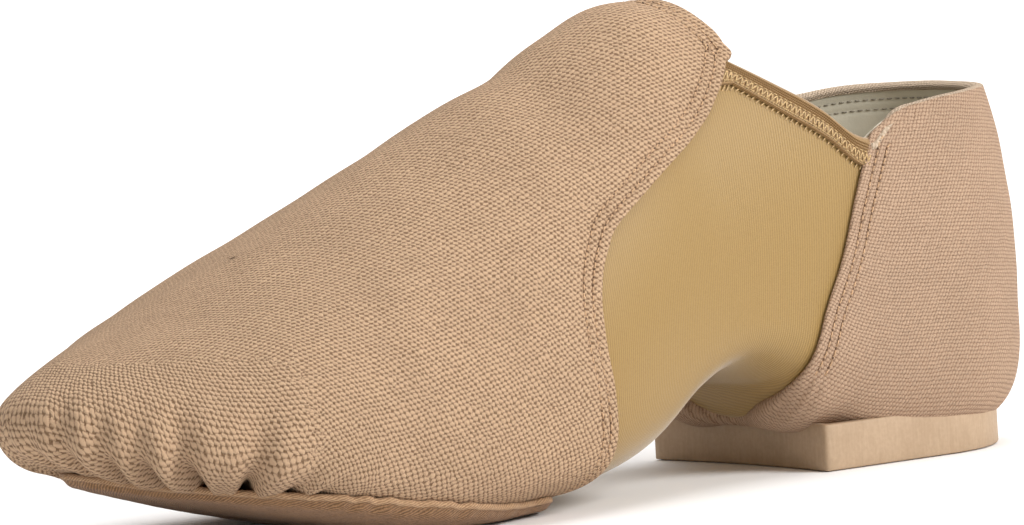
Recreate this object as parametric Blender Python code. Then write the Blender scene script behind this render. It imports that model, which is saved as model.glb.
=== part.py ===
"""Slip-on jazz shoe: canvas vamp and heel quarter over a hollow stretch upper,
suede forefoot sole and a low heel. Metres, +X from heel to toe, +Y to the
shoe's left, +Z up. The origin is the middle of the heel's flat underside."""
import bmesh
import bpy
import numpy as np

# Driving sizes of the last, inside the shoe
LENGTH = 0.248
BALL_WIDTH = 0.087
INSTEP_HEIGHT = 0.095
ARCH_RISE = 0.0168
TOE_SPRING = 0.0175

# Materials' thicknesses
UPPER_WALL = 0.0014
CANVAS = 0.0010
TAPE = 0.0009
SUEDE = 0.0018
INSOLE_THICKNESS = 0.0015
CLEARANCE = 0.0003

# Heel block and topline
HEEL_HEIGHT = 0.0092
HEEL_LENGTH = 0.0620
HEEL_WIDTH = 0.0550
HEEL_HOLLOW = 0.0020
HEEL_SKEW = 0.0020
HEEL_SHIFT = -0.0010
HEEL_RIM = 0.0004
HEEL_INSET = 0.0038
COLLAR_HEIGHT = 0.795 * INSTEP_HEIGHT
TAPE_WIDTH = 0.0050
TAPE_INSIDE = 0.0034
TAPE_GAP = 0.0006
TAPE_FOLD = 0.0008
LASTING_MARGIN = 0.0090
PATCH_CUP = 0.0030

# Heights of the foot bed over the floor, from what lies under it
HEEL_CUP = 0.0042
HEEL_SEAT = HEEL_HEIGHT - HEEL_CUP + UPPER_WALL + CANVAS + 2 * CLEARANCE
SOLE_SQUASH = 0.0008
BALL_SEAT = SUEDE + CANVAS + UPPER_WALL + 2 * CLEARANCE - SOLE_SQUASH

# Offsets of each layer from the last's surface
UPPER_OUT = UPPER_WALL
CANVAS_IN = UPPER_OUT + CLEARANCE
CANVAS_OUT = CANVAS_IN + CANVAS
SUEDE_IN = CANVAS_OUT + CLEARANCE
SUEDE_OUT = SUEDE_IN + SUEDE

# Sections of the last. Stations are shares of LENGTH, left, right and spine
# are shares of BALL_WIDTH, top and side are shares of INSTEP_HEIGHT, and low
# and high are the roundness of the section below and above its widest point.
LAST_COLUMNS = ("station", "left", "right", "spine", "top", "side", "low", "high")
LAST = (
    (0.00, 0.325, 0.325, 0.000, 1.060, 0.330, 4.5, 2.3),
    (0.06, 0.325, 0.325, 0.000, 1.060, 0.330, 4.5, 2.3),
    (0.13, 0.325, 0.328, 0.000, 1.060, 0.330, 4.5, 2.3),
    (0.25, 0.332, 0.332, 0.000, 1.040, 0.360, 3.6, 2.1),
    (0.32, 0.348, 0.342, 0.000, 1.010, 0.360, 2.9, 2.0),
    (0.38, 0.370, 0.355, 0.000, 0.991, 0.350, 2.6, 1.9),
    (0.44, 0.408, 0.380, 0.000, 0.953, 0.322, 2.8, 1.9),
    (0.50, 0.450, 0.410, 0.000, 0.885, 0.290, 3.0, 1.8),
    (0.62, 0.500, 0.470, 0.000, 0.739, 0.240, 3.4, 1.8),
    (0.72, 0.510, 0.490, 0.010, 0.623, 0.220, 3.4, 1.9),
    (0.82, 0.495, 0.465, 0.020, 0.515, 0.230, 3.0, 2.0),
    (0.92, 0.450, 0.365, 0.035, 0.411, 0.263, 2.8, 2.2),
    (1.00, 0.430, 0.250, 0.055, 0.370, 0.296, 3.2, 2.7),
)

# Foot bed along the centre: station, height over the floor
BED = (
    (0.00, HEEL_SEAT),
    (0.13, HEEL_SEAT),
    (0.24, HEEL_SEAT + 0.20 * ARCH_RISE),
    (0.30, HEEL_SEAT + 0.72 * ARCH_RISE),
    (0.35, HEEL_SEAT + 0.91 * ARCH_RISE),
    (0.40, HEEL_SEAT + 0.57 * ARCH_RISE),
    (0.45, BALL_SEAT + 0.27 * ARCH_RISE),
    (0.50, BALL_SEAT + 0.05 * ARCH_RISE),
    (0.56, BALL_SEAT),
    (0.69, BALL_SEAT),
    (0.80, BALL_SEAT + 0.33 * TOE_SPRING),
    (0.90, BALL_SEAT + 0.67 * TOE_SPRING),
    (1.00, BALL_SEAT + TOE_SPRING),
)

# Plan of the last's ends, as shares of LENGTH, and how round each end is
HEEL_PIVOT = 0.13
TOE_PIVOT = 0.78
HEEL_ROUND = 2.1
TOE_ROUND = 2.0

# Topline behind the tongue: station, height as a share of COLLAR_HEIGHT
TOPLINE = (
    (0.000, 0.985),
    (0.080, 0.982),
    (0.140, 0.968),
    (0.165, 0.952),
    (0.182, 0.914),
    (0.198, 0.874),
    (0.212, 0.885),
    (0.244, 0.965),
    (0.287, 1.048),
    (0.325, 1.120),
)

# Feather line, where the upper turns under: station, share of the half girth
FEATHER = (
    (0.00, 0.185),
    (0.10, 0.178),
    (0.20, 0.150),
    (0.28, 0.130),
    (0.38, 0.140),
    (0.50, 0.185),
    (0.59, 0.230),
    (0.68, 0.300),
    (0.81, 0.335),
    (0.92, 0.318),
    (0.98, 0.335),
    (1.00, 0.378),
)

# Rows run from the bottom centre (0) over the margin's edge, the feather
# line and the topline (1) to the top centre of the tongue and vamp (2).
# Towards the toe's tip the rows above the feather line spread out evenly.
MARGIN_ROW = 0.12
INSOLE_ROW = 0.18
FEATHER_ROW = 0.24
ROWS = (
    0.00, 0.06, 0.12, 0.18, 0.24, 0.34, 0.44, 0.54, 0.63, 0.70, 0.76, 0.80, 0.825,
    0.85, 0.88, 0.92, 0.96, 1.00, 1.15, 1.35, 1.55, 1.78, 2.00,
)

# Front edge of the quarter: row, station
QUARTER_EDGE = (
    (0.00, 0.254),
    (0.10, 0.258),
    (0.24, 0.271),
    (0.38, 0.281),
    (0.52, 0.270),
    (0.67, 0.245),
    (0.82, 0.222),
    (0.92, 0.203),
    (0.96, 0.194),
    (1.00, 0.165),
)

# Rear edge of the vamp and its tongue: row, station
VAMP_EDGE = (
    (0.00, 0.575),
    (0.18, 0.560),
    (0.28, 0.537),
    (0.39, 0.530),
    (0.50, 0.535),
    (0.60, 0.539),
    (0.70, 0.530),
    (0.76, 0.513),
    (0.80, 0.490),
    (0.825, 0.450),
    (0.85, 0.404),
    (0.88, 0.374),
    (0.93, 0.348),
    (1.00, 0.325),
    (1.20, 0.320),
    (1.50, 0.328),
    (2.00, 0.340),
)

# Rear end of the suede sole, as shares of LENGTH, and how much its cup drops at the toe's tip
PATCH_REAR = 0.540
PATCH_END = 0.035
PATCH_DRAW = 0.9

# Columns in each zone of the net, and steps of the smaller pieces
QUARTER_BACK = 6
QUARTER_SIDE = 4
HEEL_OPENING_STOP = 2
INSERT_STEPS = 8
VAMP_SIDE = 7
VAMP_CROWD = 1.3
VAMP_TOE = 9
PATCH_STEPS = 5
TAPE_STEPS = 14
HEEL_BACK_STEPS = 18
HEEL_BREAST_STEPS = 8
LID_ROW = 0.54
TAPE_ROW = 0.88
GIRTH_SAMPLES = 161


def smooth(x, xs, ys):
    """Value at x of a smooth curve through the table's points."""
    xs = np.asarray(xs, float)
    ys = np.asarray(ys, float)
    step = np.diff(xs)
    rise = np.diff(ys) / step
    slope = np.empty_like(ys)
    slope[1:-1] = (rise[:-1] * step[1:] + rise[1:] * step[:-1]) / (xs[2:] - xs[:-2])
    slope[0], slope[-1] = rise[0], rise[-1]
    x = np.clip(x, xs[0], xs[-1])
    i = np.clip(np.searchsorted(xs, x) - 1, 0, len(xs) - 2)
    t = (x - xs[i]) / step[i]
    ends = (2 * t**3 - 3 * t**2 + 1) * ys[i] + (3 * t**2 - 2 * t**3) * ys[i + 1]
    bends = (t**3 - 2 * t**2 + t) * slope[i] + (t**3 - t**2) * slope[i + 1]
    return ends + bends * step[i]


def table(rows, x):
    """Smooth value at x of a table of (x, value) rows."""
    return smooth(x, [row[0] for row in rows], [row[1] for row in rows])


def section(name, x):
    """One column of the last's section table at a place along the shoe."""
    column = LAST_COLUMNS.index(name)
    return smooth(x / LENGTH, [row[0] for row in LAST], [row[column] for row in LAST])


def bed(x):
    """Height of the foot bed at the centre line."""
    return table(BED, x / LENGTH)


def crest(x):
    """Height of the last's top centre line."""
    return INSTEP_HEIGHT * section("top", x)


def outline(w, side):
    """Plan outline: w runs 0 to 1 around the heel, to 2 along the body, to 3 at the toe."""
    heel, toe = HEEL_PIVOT * LENGTH, TOE_PIVOT * LENGTH
    back = np.clip(w, 0, 1) * np.pi / 2
    front = np.clip(w - 2, 0, 1) * np.pi / 2
    x_heel = heel * (1 - np.cos(back) ** (2 / HEEL_ROUND))
    x_toe = toe + (LENGTH - toe) * np.sin(front) ** (2 / TOE_ROUND)
    x = np.where(w < 1, x_heel, np.where(w > 2, x_toe, heel + (w - 1) * (toe - heel)))
    taper_heel = np.sin(back) ** (2 / HEEL_ROUND)
    taper_toe = np.maximum(np.cos(front), 0) ** (2 / TOE_ROUND)
    taper = np.where(w < 1, taper_heel, np.where(w > 2, taper_toe, 1.0))
    half = section("left" if side > 0 else "right", x)
    return x, side * taper * BALL_WIDTH * half


def place(share):
    """The w of the outline at a share of LENGTH."""
    heel, toe = HEEL_PIVOT, TOE_PIVOT
    body = 1 + (share - heel) / (toe - heel)
    cosine = np.clip(1 - share / heel, 0, 1) ** (HEEL_ROUND / 2)
    back = np.arccos(cosine) / (np.pi / 2)
    sine = np.clip((share - toe) / (1 - toe), 0, 1) ** (TOE_ROUND / 2)
    front = 2 + np.arcsin(sine) / (np.pi / 2)
    return np.where(share < heel, back, np.where(share > toe, front, body))


def last(w, side, turn):
    """The last's surface: turn runs -1 at the bottom centre, 0 at the side, 1 at the top centre."""
    edge_x, edge_y = outline(w, side)
    pivot = np.clip(edge_x, HEEL_PIVOT * LENGTH, TOE_PIVOT * LENGTH)
    angle = turn * np.pi / 2
    round_by = np.where(turn < 0, section("low", edge_x), section("high", edge_x))
    reach = np.maximum(np.cos(angle), 0) ** (2 / round_by)
    lift = np.abs(np.sin(angle)) ** (2 / round_by)
    x = pivot + reach * (edge_x - pivot)
    y = BALL_WIDTH * section("spine", x) + reach * edge_y
    waist = INSTEP_HEIGHT * section("side", edge_x)
    z = np.where(turn < 0, waist - (waist - bed(x)) * lift, waist + (crest(x) - waist) * lift)
    return np.stack([x, y, z], -1)


TURNS = np.linspace(-1, 1, GIRTH_SAMPLES)


class Column:
    """One column of the last, from bottom centre to top centre, by its share of the half girth."""

    def __init__(self, w, side):
        self.w = float(w)
        self.side = side
        self.points = last(np.full(GIRTH_SAMPLES, self.w), side, TURNS)
        run = np.linalg.norm(np.diff(self.points, axis=0), axis=1)
        self.along = np.concatenate([[0.0], np.cumsum(run)])
        self.girth = self.along[-1]
        self.normals = None

    def share_at_height(self, height):
        """Share of the half girth where the upper half reaches a height."""
        above = TURNS >= 0
        return np.interp(height, self.points[above, 2], self.along[above]) / self.girth

    def find_normals(self):
        """Outward normals. On the centre lines they stay in the shoe's middle plane."""
        up = np.gradient(self.points, axis=0)
        before, after = max(self.w - 0.001, 0.0), min(self.w + 0.001, 3.0)
        ahead = last(np.full(GIRTH_SAMPLES, after), self.side, TURNS)
        forward = ahead - last(np.full(GIRTH_SAMPLES, before), self.side, TURNS)
        if self.w in (0.0, 3.0):
            forward[:] = (0.0, self.side if self.w == 0.0 else -self.side, 0.0)
        normals = np.cross(up, forward) * self.side
        if self.w in (0.0, 3.0):
            normals[:, 1] = 0.0
        reach = 0.0005
        for end, height in ((0, bed), (-1, crest)):
            x = self.points[end, 0]
            slope = (height(x + reach) - height(x - reach)) / (2 * reach)
            normals[end] = np.array([-slope, 0.0, 1.0]) * (1 if end else -1)
        return normals / np.linalg.norm(normals, axis=1, keepdims=True)

    def layer(self, share, offset):
        """A point at a share of the half girth, moved out along the surface's normal."""
        if self.normals is None:
            self.normals = self.find_normals()
        at = share * self.girth
        moved = self.points + offset * self.normals
        return np.array([np.interp(at, self.along, moved[:, axis]) for axis in range(3)])


def station(w):
    """Share of LENGTH along the shoe at w."""
    return float(outline(np.asarray(w, float), 1)[0]) / LENGTH


def topline_share(column):
    """Share of the half girth at the topline behind the tongue."""
    height = COLLAR_HEIGHT * table(TOPLINE, station(column.w))
    return float(column.share_at_height(height))


class Net:
    """Rows and columns on one side of the last, shared by every layer over it."""

    def __init__(self, side):
        self.side = side
        self.quarter_edge = [float(place(table(QUARTER_EDGE, row))) for row in ROWS]
        self.vamp_edge = [float(place(table(VAMP_EDGE, row))) for row in ROWS]
        top = ROWS.index(1.0)
        self.quarter_top = self.quarter_edge[top]
        self.vamp_top = self.vamp_edge[top]
        self.tongue_share = topline_share(Column(self.vamp_top, side))
        self.quarter = self.zone(QUARTER_BACK + QUARTER_SIDE, self.quarter_w, top)
        self.insert = self.zone(INSERT_STEPS, self.insert_w, top)
        self.vamp = self.zone(VAMP_SIDE + VAMP_TOE, self.vamp_w, len(ROWS) - 1)

    def quarter_w(self, step, row):
        if step <= QUARTER_BACK:
            return step / QUARTER_BACK
        share = (step - QUARTER_BACK) / QUARTER_SIDE
        return 1 + share * (self.quarter_edge[row] - 1)

    def insert_w(self, step, row):
        share = step / INSERT_STEPS
        return self.quarter_edge[row] + share * (self.vamp_edge[row] - self.quarter_edge[row])

    def vamp_w(self, step, row):
        if step > VAMP_SIDE:
            return 2 + (step - VAMP_SIDE) / VAMP_TOE
        share = (step / VAMP_SIDE) ** VAMP_CROWD
        return self.vamp_edge[row] + share * (2 - self.vamp_edge[row])

    def zone(self, steps, w_at, last_row):
        """Columns of (column, share) from the bottom centre up."""
        columns = []
        top_row = ROWS.index(1.0)
        for step in range(steps + 1):
            top = self.tongue_share
            if last_row == top_row:
                top = topline_share(Column(w_at(step, top_row), self.side))
            nodes = []
            for row in range(last_row + 1):
                column = Column(w_at(step, row), self.side)
                share = row_share(column, ROWS[row], top)
                to_tip = max(column.w - 2, 0.0)
                nodes.append((column, share + to_tip * (even_share(column, row) - share)))
            columns.append(nodes)
        return columns


def feather_share(column):
    return float(table(FEATHER, station(column.w)))


def margin_share(column):
    return feather_share(column) - LASTING_MARGIN / column.girth


def row_share(column, row, top):
    """Share of the half girth at a row, given the share at the topline."""
    rows = (0.0, MARGIN_ROW, FEATHER_ROW, 1.0, 2.0)
    shares = (0.0, margin_share(column), feather_share(column), top, 1.0)
    return float(np.interp(row, rows, shares))


def even_share(column, row):
    """Share of the half girth of a row's place when those above the feather line are even."""
    feather = ROWS.index(FEATHER_ROW)
    if row <= feather:
        return row_share(column, ROWS[row], 1.0)
    part = (row - feather) / (len(ROWS) - 1 - feather)
    return feather_share(column) + part * (1 - feather_share(column))


def material(name, colour, roughness, metallic=0.0):
    made = bpy.data.materials.new(name)
    made.use_nodes = True
    shader = made.node_tree.nodes["Principled BSDF"]
    shader.inputs["Base Color"].default_value = (*colour, 1.0)
    shader.inputs["Roughness"].default_value = roughness
    shader.inputs["Metallic"].default_value = metallic
    made.diffuse_color = (*colour, 1.0)
    return made


def add_mesh(name, points, faces, look=None):
    """An object from welded points and triangles."""
    mesh = bpy.data.meshes.new(name)
    mesh.from_pydata([tuple(point) for point in points], [], faces)
    mesh.validate()
    mesh.update()
    if look:
        mesh.materials.append(look)
    thing = bpy.data.objects.new(name, mesh)
    bpy.context.scene.collection.objects.link(thing)
    mesh.shade_smooth()
    mesh.set_sharp_from_angle(angle=np.radians(40))
    return thing


def quads(columns, side):
    """Quads of a grid of columns, wound to face outward on their side."""
    found = []
    for here, ahead in zip(columns[:-1], columns[1:]):
        for row in range(len(here) - 1):
            quad = [here[row], here[row + 1], ahead[row + 1], ahead[row]]
            found.append(quad if side > 0 else quad[::-1])
    return found


def shell(name, grids, inner, outer, look, floor=None):
    """A closed wall between two offsets of the last, with a rim along every free edge."""
    index, outside, inside = {}, [], []

    def corner(node):
        column, share = node
        far = column.layer(share, outer)
        near = column.layer(share, inner)
        if floor is not None:
            far[2] = max(far[2], floor)
        key = tuple(np.round(np.concatenate([far, near]) * 1e6).astype(int))
        if key not in index:
            index[key] = len(outside)
            outside.append(far)
            inside.append(near)
        return index[key]

    triangles = []
    for columns, side in grids:
        for quad in quads(columns, side):
            a, b, c, d = (corner(node) for node in quad)
            for triangle in ((a, b, c), (a, c, d)):
                if len(set(triangle)) == 3:
                    triangles.append(triangle)
    used = {(a, b) for t in triangles for a, b in zip(t, t[1:] + t[:1])}
    count = len(outside)
    faces = list(triangles)
    faces += [(a + count, c + count, b + count) for a, b, c in triangles]
    for a, b in sorted(used):
        if (b, a) not in used:
            faces += [(b, a, a + count), (b, a + count, b + count)]
    return add_mesh(name, outside + inside, faces, look)


def upper(nets, look):
    """Lining and stretch insert in one wall, open at the collar and over heel and sole."""
    margin = ROWS.index(MARGIN_ROW)
    grids = []
    for net in nets:
        back = QUARTER_BACK + QUARTER_SIDE - HEEL_OPENING_STOP
        grids.append(([column[margin:] for column in net.quarter[:back + 1]], net.side))
        grids.append((net.quarter[back:], net.side))
        grids.append((net.insert, net.side))
        grids.append((net.vamp[:2], net.side))
        grids.append(([column[margin:] for column in net.vamp[1:]], net.side))
    return shell("upper", grids, 0.0, UPPER_OUT, look)


def vamp(nets, look):
    """Canvas front with its tongue, turned under to the lasting margin."""
    margin = ROWS.index(MARGIN_ROW)
    grids = []
    for net in nets:
        grids.append((net.vamp[:2], net.side))
        grids.append(([column[margin:] for column in net.vamp[1:]], net.side))
    return shell("vamp", grids, CANVAS_IN, CANVAS_OUT, look)


def quarter(nets, look):
    """Canvas heel panel, closed under the foot ahead of the heel block."""
    return shell("quarter", [(net.quarter, net.side) for net in nets], CANVAS_IN, CANVAS_OUT, look)


def insole(nets, look):
    """Sock and board on the foot bed, inside the lasting margin."""
    edge = ROWS.index(INSOLE_ROW)
    grids = []
    for net in nets:
        for zone in (net.quarter, net.insert, net.vamp):
            grids.append(([column[:edge + 1] for column in zone], net.side))
    return shell("insole", grids, -CLEARANCE - INSOLE_THICKNESS, -CLEARANCE, look)


def patch_columns(side):
    """Columns of the suede sole: a rounded rear end, the body, then the toe's fan."""
    rear = [PATCH_REAR + PATCH_END * (1 - np.cos(a)) for a in np.linspace(0, np.pi / 2, 5)]
    body = np.linspace(rear[-1], TOE_PIVOT, PATCH_STEPS + 1)[1:]
    ws = [float(place(part)) for part in rear + list(body)]
    ws += [2 + (step + 1) / VAMP_TOE for step in range(VAMP_TOE)]
    columns = []
    for w in ws:
        column = Column(w, side)
        ahead = min((station(w) - PATCH_REAR) / PATCH_END, 1.0)
        taper = np.sqrt(max(1 - (1 - ahead) ** 2, 0.0))
        margin, feather = margin_share(column), feather_share(column)
        cup = PATCH_CUP * (1 - PATCH_DRAW * max(w - 2, 0) ** 2)
        rim = feather + cup / column.girth
        shares = [0.0, margin / 3, margin * 2 / 3, margin, (margin + feather) / 2, feather, rim]
        columns.append([(column, share * taper) for share in shares])
    return columns


def forefoot_sole(look):
    """Suede patch, cupped up at its edge and worn flat where it stands on the floor."""
    grids = [(patch_columns(side), side) for side in (1, -1)]
    return shell("forefoot_sole", grids, SUEDE_IN, SUEDE_OUT, look, floor=0.0)


def last_solid(nets, offset):
    """A closed solid of the last grown by an offset, for cutting seats."""
    lid_row = ROWS.index(LID_ROW)
    index, points, faces = {}, [], []

    def corner(node):
        point = node[0].layer(node[1], offset)
        key = tuple(np.round(point * 1e6).astype(int))
        if key not in index:
            index[key] = len(points)
            points.append(point)
        return index[key]

    for net in nets:
        for zone in (net.quarter, net.insert, net.vamp):
            for quad in quads([column[:lid_row + 1] for column in zone], net.side):
                a, b, c, d = (corner(node) for node in quad)
                for triangle in ((a, b, c), (a, c, d)):
                    if len(set(triangle)) == 3:
                        faces.append(triangle)
    used = {(a, b) for t in faces for a, b in zip(t, t[1:] + t[:1])}
    centre = len(points)
    points.append(np.array([LENGTH / 2, 0.0, COLLAR_HEIGHT]))
    faces += [(b, a, centre) for a, b in sorted(used) if (b, a) not in used]
    cutter = add_mesh("seat_cutter", points, faces)
    cutter.hide_render = True
    cutter.display_type = "WIRE"
    return cutter


def heel_outline():
    """Plan of the heel block: straight flanks, a round back and a hollow breast."""
    half = HEEL_WIDTH / 2
    breast = HEEL_INSET + HEEL_LENGTH
    round_from = HEEL_INSET + half
    points = []
    for angle in np.linspace(np.pi / 2, -np.pi / 2, HEEL_BACK_STEPS + 1):
        reach = np.cos(angle) ** (2 / HEEL_ROUND)
        across = np.sign(np.sin(angle)) * abs(np.sin(angle)) ** (2 / HEEL_ROUND)
        points.append((round_from - half * reach, HEEL_SHIFT + half * across))
    for part in np.linspace(-1, 1, HEEL_BREAST_STEPS + 1):
        hollow = HEEL_HOLLOW * (1 - part**2)
        skew = -HEEL_SKEW * part / 2
        points.append((breast + skew - hollow, HEEL_SHIFT + half * part))
    return points


def heel(cutter, look):
    """Low heel block with its seat cut to the quarter's underside."""
    plan = heel_outline()
    mesh = bpy.data.meshes.new("heel")
    build = bmesh.new()
    ring = [build.verts.new((x, y, 0.0)) for x, y in plan]
    base = build.faces.new(ring)
    lifted = bmesh.ops.extrude_face_region(build, geom=[base])["geom"]
    corners = [item for item in lifted if isinstance(item, bmesh.types.BMVert)]
    bmesh.ops.translate(build, vec=(0.0, 0.0, HEEL_HEIGHT + HEEL_RIM), verts=corners)
    bmesh.ops.recalc_face_normals(build, faces=build.faces[:])
    build.to_mesh(mesh)
    build.free()
    mesh.materials.append(look)
    block = bpy.data.objects.new("heel", mesh)
    bpy.context.scene.collection.objects.link(block)
    seat = block.modifiers.new("seat", "BOOLEAN")
    seat.operation = "DIFFERENCE"
    seat.solver = "EXACT"
    seat.object = cutter
    return block


def edge_w(edge, share):
    """The w on an edge of the net, a column of (column, share), at a share."""
    return float(np.interp(share, [node[1] for node in edge], [node[0].w for node in edge]))


def tape_end(net, edge, drop, gap):
    """The w where a line below the topline meets an edge, less a gap along the shoe."""
    w = edge[ROWS.index(TAPE_ROW)][0].w
    for _ in range(12):
        column = Column(w, net.side)
        w = edge_w(edge, topline_share(column) - drop / column.girth)
    return w + gap / ((TOE_PIVOT - HEEL_PIVOT) * LENGTH)


def binding(net, name, look):
    """Elastic tape folded over the topline between the quarter and the tongue."""
    top = ROWS.index(1.0)
    rear = net.insert[0]
    front = net.vamp[0][:top + 1]
    outer, inner = UPPER_OUT + CLEARANCE, -CLEARANCE
    profile = (
        (TAPE_WIDTH, outer), (TAPE_WIDTH, outer + TAPE),
        (0.0, outer + TAPE), (-TAPE_FOLD - TAPE, outer + TAPE / 2),
        (-TAPE_FOLD - TAPE, inner - TAPE / 2), (0.0, inner - TAPE),
        (TAPE_INSIDE, inner - TAPE), (TAPE_INSIDE, inner),
        (-TAPE_FOLD, inner), (-TAPE_FOLD, outer),
    )
    drops = [max(drop, 0.0) for drop, offset in profile]
    starts = {drop: tape_end(net, rear, drop, TAPE_GAP) for drop in set(drops)}
    stops = {drop: tape_end(net, front, drop, -TAPE_GAP) for drop in set(drops)}
    rings = []
    for step in range(TAPE_STEPS + 1):
        part = step / TAPE_STEPS
        ring = []
        for (drop, offset), reach in zip(profile, drops):
            start, end = starts[reach], stops[reach]
            column = Column(start + part * (end - start), net.side)
            share = topline_share(column) - drop / column.girth
            ring.append(column.layer(share, offset))
        rings.append(ring)
    count = len(profile)
    points = [point for ring in rings for point in ring]
    faces = []
    for step in range(TAPE_STEPS):
        for i in range(count):
            j = (i + 1) % count
            a, b = step * count + i, step * count + j
            c, d = b + count, a + count
            faces += [(a, b, c), (a, c, d)]
    ends = [(0, 1, 2), (0, 2, 9), (9, 2, 3), (9, 3, 8), (8, 3, 4), (8, 4, 5), (8, 5, 7), (7, 5, 6)]
    last_ring = TAPE_STEPS * count
    faces += [(c, b, a) for a, b, c in ends]
    faces += [(a + last_ring, b + last_ring, c + last_ring) for a, b, c in ends]
    if net.side < 0:
        faces = [face[::-1] for face in faces]
    return add_mesh(name, points, faces, look)


def build():
    """All the pieces, with the origin moved to the middle of the heel's underside."""
    for thing in list(bpy.data.objects):
        bpy.data.objects.remove(thing, do_unlink=True)
    canvas = material("tan canvas", (0.53, 0.36, 0.22), 0.9)
    stretch = material("olive stretch cloth", (0.52, 0.34, 0.14), 0.45)
    elastic = material("ribbed elastic", (0.47, 0.30, 0.15), 0.7)
    suede = material("tan suede", (0.22, 0.13, 0.07), 0.95)
    leather = material("tan leather", (0.63, 0.45, 0.29), 0.5)
    board = material("grey sock cloth", (0.36, 0.30, 0.22), 0.85)
    nets = [Net(1), Net(-1)]
    upper(nets, stretch)
    vamp(nets, canvas)
    quarter(nets, canvas)
    insole(nets, board)
    forefoot_sole(suede)
    heel(last_solid(nets, CANVAS_OUT + CLEARANCE), leather)
    binding(nets[0], "binding_left", elastic)
    binding(nets[1], "binding_right", elastic)
    for thing in bpy.data.objects:
        thing.location = (-HEEL_INSET - HEEL_LENGTH / 2, -HEEL_SHIFT, 0.0)


build()
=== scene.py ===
"""Looks of the slip-on jazz shoe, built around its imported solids."""

import bmesh
import bpy
import numpy as np
from mathutils import Matrix, Vector


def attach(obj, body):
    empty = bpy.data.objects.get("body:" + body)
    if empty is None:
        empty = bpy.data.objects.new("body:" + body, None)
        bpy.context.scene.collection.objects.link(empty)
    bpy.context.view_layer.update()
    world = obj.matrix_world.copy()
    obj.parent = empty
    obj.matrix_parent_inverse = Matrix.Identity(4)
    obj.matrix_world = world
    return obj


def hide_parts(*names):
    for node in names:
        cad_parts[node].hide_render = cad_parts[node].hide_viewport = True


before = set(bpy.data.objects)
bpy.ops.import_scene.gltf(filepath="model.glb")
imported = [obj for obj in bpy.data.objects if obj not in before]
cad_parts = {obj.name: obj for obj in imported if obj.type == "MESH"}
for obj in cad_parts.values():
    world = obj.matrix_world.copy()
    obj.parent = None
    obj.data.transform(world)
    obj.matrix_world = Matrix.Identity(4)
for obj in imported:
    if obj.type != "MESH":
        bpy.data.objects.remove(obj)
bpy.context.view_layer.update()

# Sizes of the shoe, the same as in the solids, in metres
LENGTH = 0.248
BALL_WIDTH = 0.087
INSTEP_HEIGHT = 0.095
ARCH_RISE = 0.0168
TOE_SPRING = 0.0175
UPPER_WALL = 0.0014
CANVAS = 0.0010
SUEDE = 0.0018
INSOLE_THICKNESS = 0.0015
CLEARANCE = 0.0003
HEEL_HEIGHT = 0.0092
HEEL_LENGTH = 0.0620
HEEL_WIDTH = 0.0550
HEEL_HOLLOW = 0.0020
HEEL_SKEW = 0.0020
HEEL_SHIFT = -0.0010
HEEL_RIM = 0.0004
HEEL_INSET = 0.0038
HEEL_CUP = 0.0042
COLLAR_HEIGHT = 0.795 * INSTEP_HEIGHT
LASTING_MARGIN = 0.0090
PATCH_CUP = 0.0030
HEEL_SEAT = HEEL_HEIGHT - HEEL_CUP + UPPER_WALL + CANVAS + 2 * CLEARANCE
SOLE_SQUASH = 0.0008
BALL_SEAT = SUEDE + CANVAS + UPPER_WALL + 2 * CLEARANCE - SOLE_SQUASH
CANVAS_IN = UPPER_WALL + CLEARANCE
CANVAS_OUT = CANVAS_IN + CANVAS
SUEDE_IN = CANVAS_OUT + CLEARANCE
SUEDE_OUT = SUEDE_IN + SUEDE
ORIGIN = np.array([-HEEL_INSET - HEEL_LENGTH / 2, -HEEL_SHIFT, 0.0])

# Sections of the last: stations are shares of LENGTH, widths and spine shares
# of BALL_WIDTH, heights shares of INSTEP_HEIGHT, low and high are roundness.
LAST_COLUMNS = ("station", "left", "right", "spine", "top", "side", "low", "high")
LAST = (
    (0.00, 0.325, 0.325, 0.000, 1.060, 0.330, 4.5, 2.3),
    (0.06, 0.325, 0.325, 0.000, 1.060, 0.330, 4.5, 2.3),
    (0.13, 0.325, 0.328, 0.000, 1.060, 0.330, 4.5, 2.3),
    (0.25, 0.332, 0.332, 0.000, 1.040, 0.360, 3.6, 2.1),
    (0.32, 0.348, 0.342, 0.000, 1.010, 0.360, 2.9, 2.0),
    (0.38, 0.370, 0.355, 0.000, 0.991, 0.350, 2.6, 1.9),
    (0.44, 0.408, 0.380, 0.000, 0.953, 0.322, 2.8, 1.9),
    (0.50, 0.450, 0.410, 0.000, 0.885, 0.290, 3.0, 1.8),
    (0.62, 0.500, 0.470, 0.000, 0.739, 0.240, 3.4, 1.8),
    (0.72, 0.510, 0.490, 0.010, 0.623, 0.220, 3.4, 1.9),
    (0.82, 0.495, 0.465, 0.020, 0.515, 0.230, 3.0, 2.0),
    (0.92, 0.450, 0.365, 0.035, 0.411, 0.263, 2.8, 2.2),
    (1.00, 0.430, 0.250, 0.055, 0.370, 0.296, 3.2, 2.7),
)
BED = (
    (0.00, HEEL_SEAT),
    (0.13, HEEL_SEAT),
    (0.24, HEEL_SEAT + 0.20 * ARCH_RISE),
    (0.30, HEEL_SEAT + 0.72 * ARCH_RISE),
    (0.35, HEEL_SEAT + 0.91 * ARCH_RISE),
    (0.40, HEEL_SEAT + 0.57 * ARCH_RISE),
    (0.45, BALL_SEAT + 0.27 * ARCH_RISE),
    (0.50, BALL_SEAT + 0.05 * ARCH_RISE),
    (0.56, BALL_SEAT),
    (0.69, BALL_SEAT),
    (0.80, BALL_SEAT + 0.33 * TOE_SPRING),
    (0.90, BALL_SEAT + 0.67 * TOE_SPRING),
    (1.00, BALL_SEAT + TOE_SPRING),
)
HEEL_PIVOT = 0.13
TOE_PIVOT = 0.78
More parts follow.
